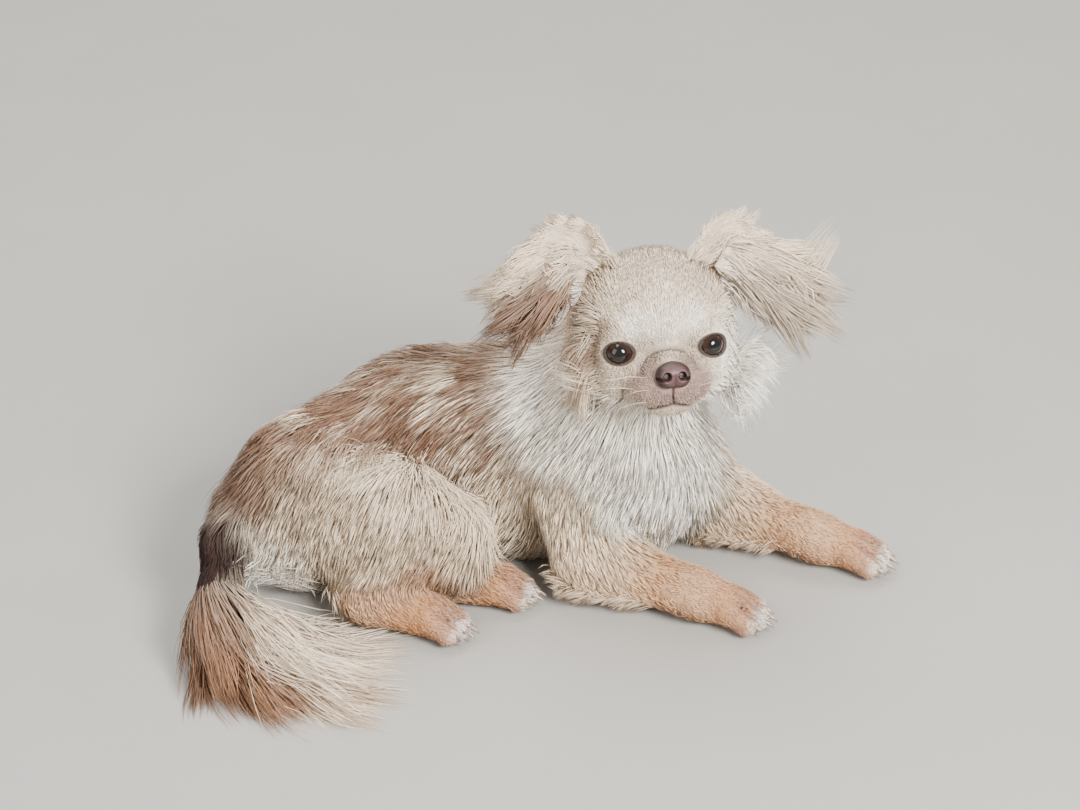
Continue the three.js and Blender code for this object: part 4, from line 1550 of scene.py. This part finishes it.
def build_whiskers():
    """A few long, fine whiskers from each side of the muzzle."""
    random = np.random.default_rng(17)
    roots, ways = [], []
    for side, _ in SIDES:
        for i in range(7):
            row, place_in_row = i // 3, i % 3
            out = side * (0.012 + 0.003 * place_in_row)
            roots.append(from_head(0.038 - 0.002 * place_in_row, out, -0.026 - 0.003 * row))
            ways.append(head_way(0.35, side * 1.0, -0.15 - 0.12 * row))
    roots = drawn_to_skin(np.array(roots), body, 4)
    ways = unit(np.array(ways) + random.normal(size=(len(ways), 3)) * 0.08)
    count = len(roots)
    long = random.uniform(0.016, 0.028, count)
    path = comb(roots, ways, ways + 0.01, long, 0.0, 0.0, 2.0, rows((0.0, 0.0, -0.10), count), 6)
    uv = random.random((count, 2)) * 0.9 + 0.03
    wide, thick = np.full(count, 0.00028), np.full(count, 0.00022)
    colour = rows(CREAM * 0.8, count)
    return lock_mesh("whiskers", path, rows(UP, count), uv, wide, thick, colour)


# Eyes, lids, nose and claws

def build_eye(side, name, radius):
    """An eyeball with its cornea, looking out of its socket."""
    deselect_all()
    bpy.ops.mesh.primitive_uv_sphere_add(segments=48, ring_count=32, radius=radius)
    eye = named(name)
    points = corners(eye.data)
    centre, axis, _, _ = eye_frame(side)
    ahead = unit(points) @ (HEAD_TURN @ axis)
    bulge = 0.0007 * ramp(ahead, math.cos(0.62), math.cos(0.25))
    points = points + unit(points) * bulge[:, None]
    set_corners(eye.data, points + from_head(*centre))
    angle = np.arccos(np.clip(ahead, -1, 1)) / 1.1
    layer = eye.data.attributes.new("sight", "FLOAT", "POINT")
    layer.data.foreach_set("value", np.clip(angle, 0, 1).astype(np.float32))
    smooth(eye.data)
    return eye


def build_lid(side, name, radius):
    """The dark wet rim of the lids, an almond that hugs the eyeball."""
    deselect_all()
    bpy.ops.mesh.primitive_torus_add(
        major_segments=64, minor_segments=10, major_radius=1.0, minor_radius=0.1
    )
    lid = named(name)
    points = corners(lid.data)
    turn = np.arctan2(points[:, 1], points[:, 0])
    ring = np.hypot(points[:, 0], points[:, 1]) - 1.0
    centre, axis, across, up = eye_frame(side)
    u = (LID_HALF_WIDTH + 0.0001) * np.cos(turn)
    v = LID_HALF_HEIGHT * np.sin(turn) * (1 - 0.10 * np.cos(turn) ** 2) + LID_RISE
    deep = np.sqrt(np.maximum((radius + 0.0003) ** 2 - u * u - v * v, 1e-8))
    middle = centre + axis * deep[:, None] + across * u[:, None] + up * v[:, None]
    out = unit(across * np.cos(turn)[:, None] + up * np.sin(turn)[:, None])
    thick = 0.0006
    rim = middle + out * (ring * 10 * thick)[:, None] + axis * (points[:, 2:3] * 10 * thick)
    set_corners(lid.data, SKULL + rim @ HEAD_TURN.T)
    turned_outwards(lid)
    return lid


NOSE_AT = np.array((0.046, 0.0, -0.020))
# The middle of the nose leather and its two wings: their centres from the nose, and their radii
NOSE_LUMPS = (
    ((0.0, 0.0, 0.0), (0.0068, 0.0088, 0.0074)),
    ((0.0010, 0.0048, -0.0012), (0.0062, 0.0046, 0.0056)),
    ((0.0010, -0.0048, -0.0012), (0.0062, 0.0046, 0.0056)),
)
NOSE_FIELD = merge([lump(NOSE_AT + np.array(c), r) for c, r in NOSE_LUMPS], 0.003)


def build_nose():
    """The nose leather, with its two comma-shaped nostrils and the groove between them."""
    deselect_all()
    turn = Matrix(HEAD_TURN).to_euler()
    for i, (centre, radii) in enumerate(NOSE_LUMPS):
        bpy.ops.mesh.primitive_uv_sphere_add(
            segments=24, ring_count=16, radius=1.0, rotation=turn, scale=radii,
            location=from_head(*(NOSE_AT + np.array(centre))),
        )
        if i == 0:
            nose = named("nose_leather")
            bpy.ops.object.transform_apply(location=True, rotation=True, scale=True)
            bpy.ops.object.mode_set(mode="EDIT")
    bpy.ops.object.mode_set(mode="OBJECT")
    apply_modifier(nose, "REMESH", mode="VOXEL", voxel_size=0.0005)
    q = on_head(corners(nose.data))
    q = drawn_to_skin(q, NOSE_FIELD, 4, edges_of(nose.data))
    front = ramp(q[:, 0], NOSE_AT[0], NOSE_AT[0] + 0.004)
    side = np.abs(q[:, 1])
    high = q[:, 2] - NOSE_AT[2]
    hole = np.hypot((side - 0.0042) / 0.0024, (high + 0.0002) / 0.0026)
    slit = np.hypot((side - 0.0076) / 0.0030, (high + 0.0020 - 0.12 * (side - 0.005)) / 0.0010)
    nostril = np.maximum(1 - ramp(hole, 0.55, 1.15), 0.8 * (1 - ramp(slit, 0.5, 1.2)))
    q[:, 0] -= 0.0046 * nostril * front
    q[:, 0] -= 0.0010 * ridge(q[:, 1], 0.0007) * front * ramp(-high, -0.002, 0.001)
    set_corners(nose.data, SKULL + q @ HEAD_TURN.T)
    smooth(nose.data)
    pink = linear((80, 56, 57))
    dark = linear((22, 11, 12))
    # The leather is painted darker towards its rim and near-black in the nostrils: painted shade
    # where the nose turns away and inside the holes
    rim = ramp(np.hypot(q[:, 1] / 0.0092, high / 0.0074), 0.66, 0.96)
    darker = np.clip(0.98 * nostril + 0.75 * rim, 0, 1)
    add_colour(nose.data, blended(rows(pink, len(q)), dark, darker))
    return nose


def build_claws():
    """Sixteen small curved claws, one modelled and the rest copies, joined in one piece."""
    deselect_all()
    bpy.ops.mesh.primitive_cone_add(
        vertices=12, radius1=0.0019, radius2=0.0007, depth=0.0070, end_fill_type="NGON"
    )
    pattern = bpy.context.object
    bpy.ops.object.mode_set(mode="EDIT")
    bpy.ops.mesh.select_all(action="SELECT")
    bpy.ops.mesh.subdivide(number_cuts=4)
    bpy.ops.object.mode_set(mode="OBJECT")
    claw = corners(pattern.data)
    ahead = claw[:, 2] + 0.0018
    drop = -60.0 * np.maximum(ahead, 0) ** 2 - 0.25 * ahead
    shapes = []
    for legs, spread in ((FORELEGS, FORE_SPREAD), (HINDLEGS, HIND_SPREAD)):
        for _, _, joint, toe in legs.values():
            along = paw_way(joint, toe)
            for k in TOES:
                tip = toe_tip(joint, toe, spread, k, CLAW_HEIGHT, 0.0052)
                points = tip + along * ahead[:, None] + np.cross(along, UP) * claw[:, 0:1] * 0.8
                points = points + UP * (claw[:, 1] + drop)[:, None]
                points[:, 2] = np.maximum(points[:, 2], FLOOR_CLEAR)
                shapes.append(points)
    piece = copied(pattern, shapes, "claws")
    turned_outwards(piece)
    return piece


# What a user can change

class DOG_PG_body(bpy.types.PropertyGroup):
    """Sizes of the skin and the face."""

    voxel: bpy.props.FloatProperty(
        name="Skin detail", description="Edge of the skin's faces",
        default=0.0019, min=0.001, unit="LENGTH",
    )
    eye_radius: bpy.props.FloatProperty(
        name="Eye radius", description="Radius of each eyeball",
        default=0.0094, min=0.004, unit="LENGTH",
    )


class DOG_PG_coat(bpy.types.PropertyGroup):
    """How the coat is drawn."""

    seed: bpy.props.IntProperty(
        name="Seed", description="Start of the draws that vary the locks", default=40
    )
    softness: bpy.props.FloatProperty(
        name="Roughness", description="Roughness of the hair",
        default=0.55, min=0.1, max=1.0, subtype="FACTOR",
    )


class DOG_PG_stage(bpy.types.PropertyGroup):
    """The floor, the lights and the camera."""

    floor_colour: bpy.props.FloatVectorProperty(
        name="Floor", description="Colour of the floor",
        default=(0.34, 0.33, 0.315), subtype="COLOR", min=0, max=1,
    )
    lens: bpy.props.FloatProperty(
        name="Lens", description="Focal length of the camera, in millimetres",
        default=133.64, min=10,
    )
    light: bpy.props.FloatProperty(
        name="Light", description="Strength of the soft lights", default=1.0, min=0.0
    )


class DOG_OT_skin(bpy.types.Operator):
    """Makes the skin of the whole body, with lids, mouth and toes"""

    bl_idname = "dog.skin"
    bl_label = "Skin"

    def execute(self, context):
        settings = context.scene.dog_body
        skin = build_skin(settings.voxel, settings.eye_radius)
        unwrap(skin)
        # The skin is painted darker than its markings: painted shade under the coat
        add_colour(skin.data, markings(corners(skin.data)) * SHADE_UNDER_COAT)
        finish_piece(skin, skin_material(), "coat_cream", *FLESH_NODES)
        return {"FINISHED"}


class DOG_OT_ears(bpy.types.Operator):
    """Makes the two ears and their fringes"""

    bl_idname = "dog.ears"
    bl_label = "Ears"

    def execute(self, context):
        settings = context.scene.dog_coat
        leather = coat_material("ear_leather", 0.8, 1.05, 0.6)
        fringe = coat_material("ear_fringe_hair", 0.85, 1.12, settings.softness)
        for side, word in SIDES:
            ear = build_ear(side, "ear_leaf_" + word)
            finish_piece(ear, leather, "coat_cream", "ear_" + word)
            hair = ear_hair(ear, side, "ear_fringe_" + word, settings.seed + side)
            finish_piece(hair, fringe, "coat_cream")
        return {"FINISHED"}


class DOG_OT_eyes(bpy.types.Operator):
    """Makes the eyes and the rims of their lids"""

    bl_idname = "dog.eyes"
    bl_label = "Eyes"

    def execute(self, context):
        radius = context.scene.dog_body.eye_radius
        gloss = eye_material()
        dark, light = (0.014, 0.008, 0.007), (0.034, 0.019, 0.017)
        rim = plain_material("lid_rim", dark, light, 700.0, 0.4, 0.3, 0.3)
        for side, word in SIDES:
            eye = build_eye(side, "eyeball_" + word, radius)
            finish_piece(eye, gloss, "eye", "eye_" + word)
            lid = build_lid(side, "lid_rim_" + word, radius)
            finish_piece(lid, rim, "nose")
        return {"FINISHED"}


class DOG_OT_nose(bpy.types.Operator):
    """Makes the nose leather with its nostrils, and the whiskers"""

    bl_idname = "dog.nose"
    bl_label = "Nose and whiskers"

    def execute(self, context):
        finish_piece(build_nose(), nose_material(), "nose", "nose")
        hair = coat_material("whisker_hair", 0.9, 1.1, 0.4)
        finish_piece(build_whiskers(), hair, "coat_white")
        return {"FINISHED"}


class DOG_OT_claws(bpy.types.Operator):
    """Makes the sixteen claws"""

    bl_idname = "dog.claws"
    bl_label = "Claws"

    def execute(self, context):
        light, dark = (0.36, 0.27, 0.22), (0.13, 0.085, 0.07)
        horn = plain_material("claw_horn", light, dark, 300.0, 0.35, 0.15, 0.3)
        finish_piece(build_claws(), horn, "nose")
        return {"FINISHED"}


class DOG_OT_coat(bpy.types.Operator):
    """Grows the coat of the face, ruff, body, legs and tail from the skin"""

    bl_idname = "dog.coat"
    bl_label = "Coat"

    def execute(self, context):
        skin = bpy.data.objects.get("skin")
        if skin is None:
            raise RuntimeError("the coat grows from the skin, so make the skin first")
        settings = context.scene.dog_coat
        surface = triangles_of(skin)
        region = body_region(surface["middle"])
        hair = coat_material("long_hair", 0.82, 1.14, settings.softness)
        weights = patch_weights(surface, region)
        for i, name in enumerate(COAT):
            piece = grow_coat(name, surface, weights[name], settings.seed + 7 * i)
            pale = name in ("coat_chest", "coat_ruff", "coat_cheeks", "side_tufts")
            finish_piece(piece, hair, "coat_white" if pale else "coat_cream")
        finish_piece(feathers(surface, region), hair, "coat_cream")
        return {"FINISHED"}


class DOG_OT_stage(bpy.types.Operator):
    """Sets the floor, the soft lights and the camera"""

    bl_idname = "dog.stage"
    bl_label = "Floor, lights and camera"

    def execute(self, context):
        settings = context.scene.dog_stage
        deselect_all()
        bpy.ops.mesh.primitive_plane_add(size=10.0, location=(0, 0, 0))
        floor = named("floor")
        colour = tuple(settings.floor_colour)
        floor.data.materials.append(
            plain_material("pale_floor", colour, tuple(c * 0.94 for c in colour), 9.0, 0.7, 0.02)
        )
        add_lights(settings.light)
        add_camera(settings.lens)
        return {"FINISHED"}


def add_lights(strength):
    """A large soft window light from the front right, a fill from the left and one above."""
    aim = Vector((0, 0, 0.06))
    for name, where, size, power, colour in (
        ("window", (1.0, -1.5, 1.4), 0.8, 150.0, (1.0, 0.97, 0.92)),
        ("fill", (-1.6, -0.9, 1.1), 1.6, 24.0, (1.0, 0.98, 0.96)),
        ("above", (-0.2, 0.9, 1.9), 1.5, 50.0, (1.0, 0.98, 0.95)),
    ):
        lamp = bpy.data.lights.new(name, "AREA")
        lamp.shape = "SQUARE"
        lamp.size = size
        lamp.energy = power * strength
        lamp.color = colour
        holder = bpy.data.objects.new(name, lamp)
        holder.location = where
        holder.rotation_euler = (aim - Vector(where)).to_track_quat("-Z", "Y").to_euler()
        bpy.context.scene.collection.objects.link(holder)
    world = bpy.data.worlds.new("room")
    world.use_nodes = True
    set_inputs(world.node_tree.nodes["Background"], Color=(0.95, 0.91, 0.86, 1), Strength=0.65)
    bpy.context.scene.world = world


# The camera's place and its ways to the right and down, as the floor tiles give them
CAMERA_AT = place(0.01283341, -1.92011022, 1.29831586)
CAMERA_RIGHT = Vector((0.99870603, -0.03027025, -0.04086545))
CAMERA_DOWN = Vector((-0.05066799, -0.52333483, -0.85061943))


def add_camera(lens):
    """The camera at the photograph's viewing angle."""
    right, down = CAMERA_RIGHT, CAMERA_DOWN
    ahead = right.cross(down).normalized()
    down = ahead.cross(right).normalized()
    turn = Matrix((right, -down, -ahead)).transposed().to_4x4()
    eye = bpy.data.cameras.new("camera")
    eye.lens = lens
    eye.sensor_width = 36.0
    eye.clip_end = 50.0
    camera = bpy.data.objects.new("camera", eye)
    camera.matrix_world = Matrix.Translation(Vector(CAMERA_AT)) @ turn
    bpy.context.scene.collection.objects.link(camera)
    bpy.context.scene.camera = camera


OPERATORS = (
    DOG_OT_stage, DOG_OT_skin, DOG_OT_eyes, DOG_OT_nose, DOG_OT_claws, DOG_OT_ears, DOG_OT_coat,
)


class DOG_PT_panel(bpy.types.Panel):
    """Lists the steps and their settings"""

    bl_idname = "DOG_PT_panel"
    bl_label = "Long-haired chihuahua"
    bl_space_type = "VIEW_3D"
    bl_region_type = "UI"
    bl_category = "Dog"

    def draw(self, context):
        layout = self.layout
        for group in (context.scene.dog_body, context.scene.dog_coat, context.scene.dog_stage):
            for key in group.__annotations__:
                layout.prop(group, key)
        for step in OPERATORS:
            layout.operator(step.bl_idname)


CLASSES = (DOG_PG_body, DOG_PG_coat, DOG_PG_stage, *OPERATORS, DOG_PT_panel)


def register():
    """Adds the classes and the settings to Blender."""
    for each in CLASSES:
        bpy.utils.register_class(each)
    bpy.types.Scene.dog_body = bpy.props.PointerProperty(type=DOG_PG_body)
    bpy.types.Scene.dog_coat = bpy.props.PointerProperty(type=DOG_PG_coat)
    bpy.types.Scene.dog_stage = bpy.props.PointerProperty(type=DOG_PG_stage)


def unregister():
    """Takes the settings and the classes out again."""
    del bpy.types.Scene.dog_stage
    del bpy.types.Scene.dog_coat
    del bpy.types.Scene.dog_body
    for each in reversed(CLASSES):
        bpy.utils.unregister_class(each)


def main():
    register()
    bpy.ops.dog.stage()
    bpy.ops.dog.skin()
    bpy.ops.dog.eyes()
    bpy.ops.dog.nose()
    bpy.ops.dog.claws()
    bpy.ops.dog.ears()
    bpy.ops.dog.coat()


if __name__ == "__main__":
    main()
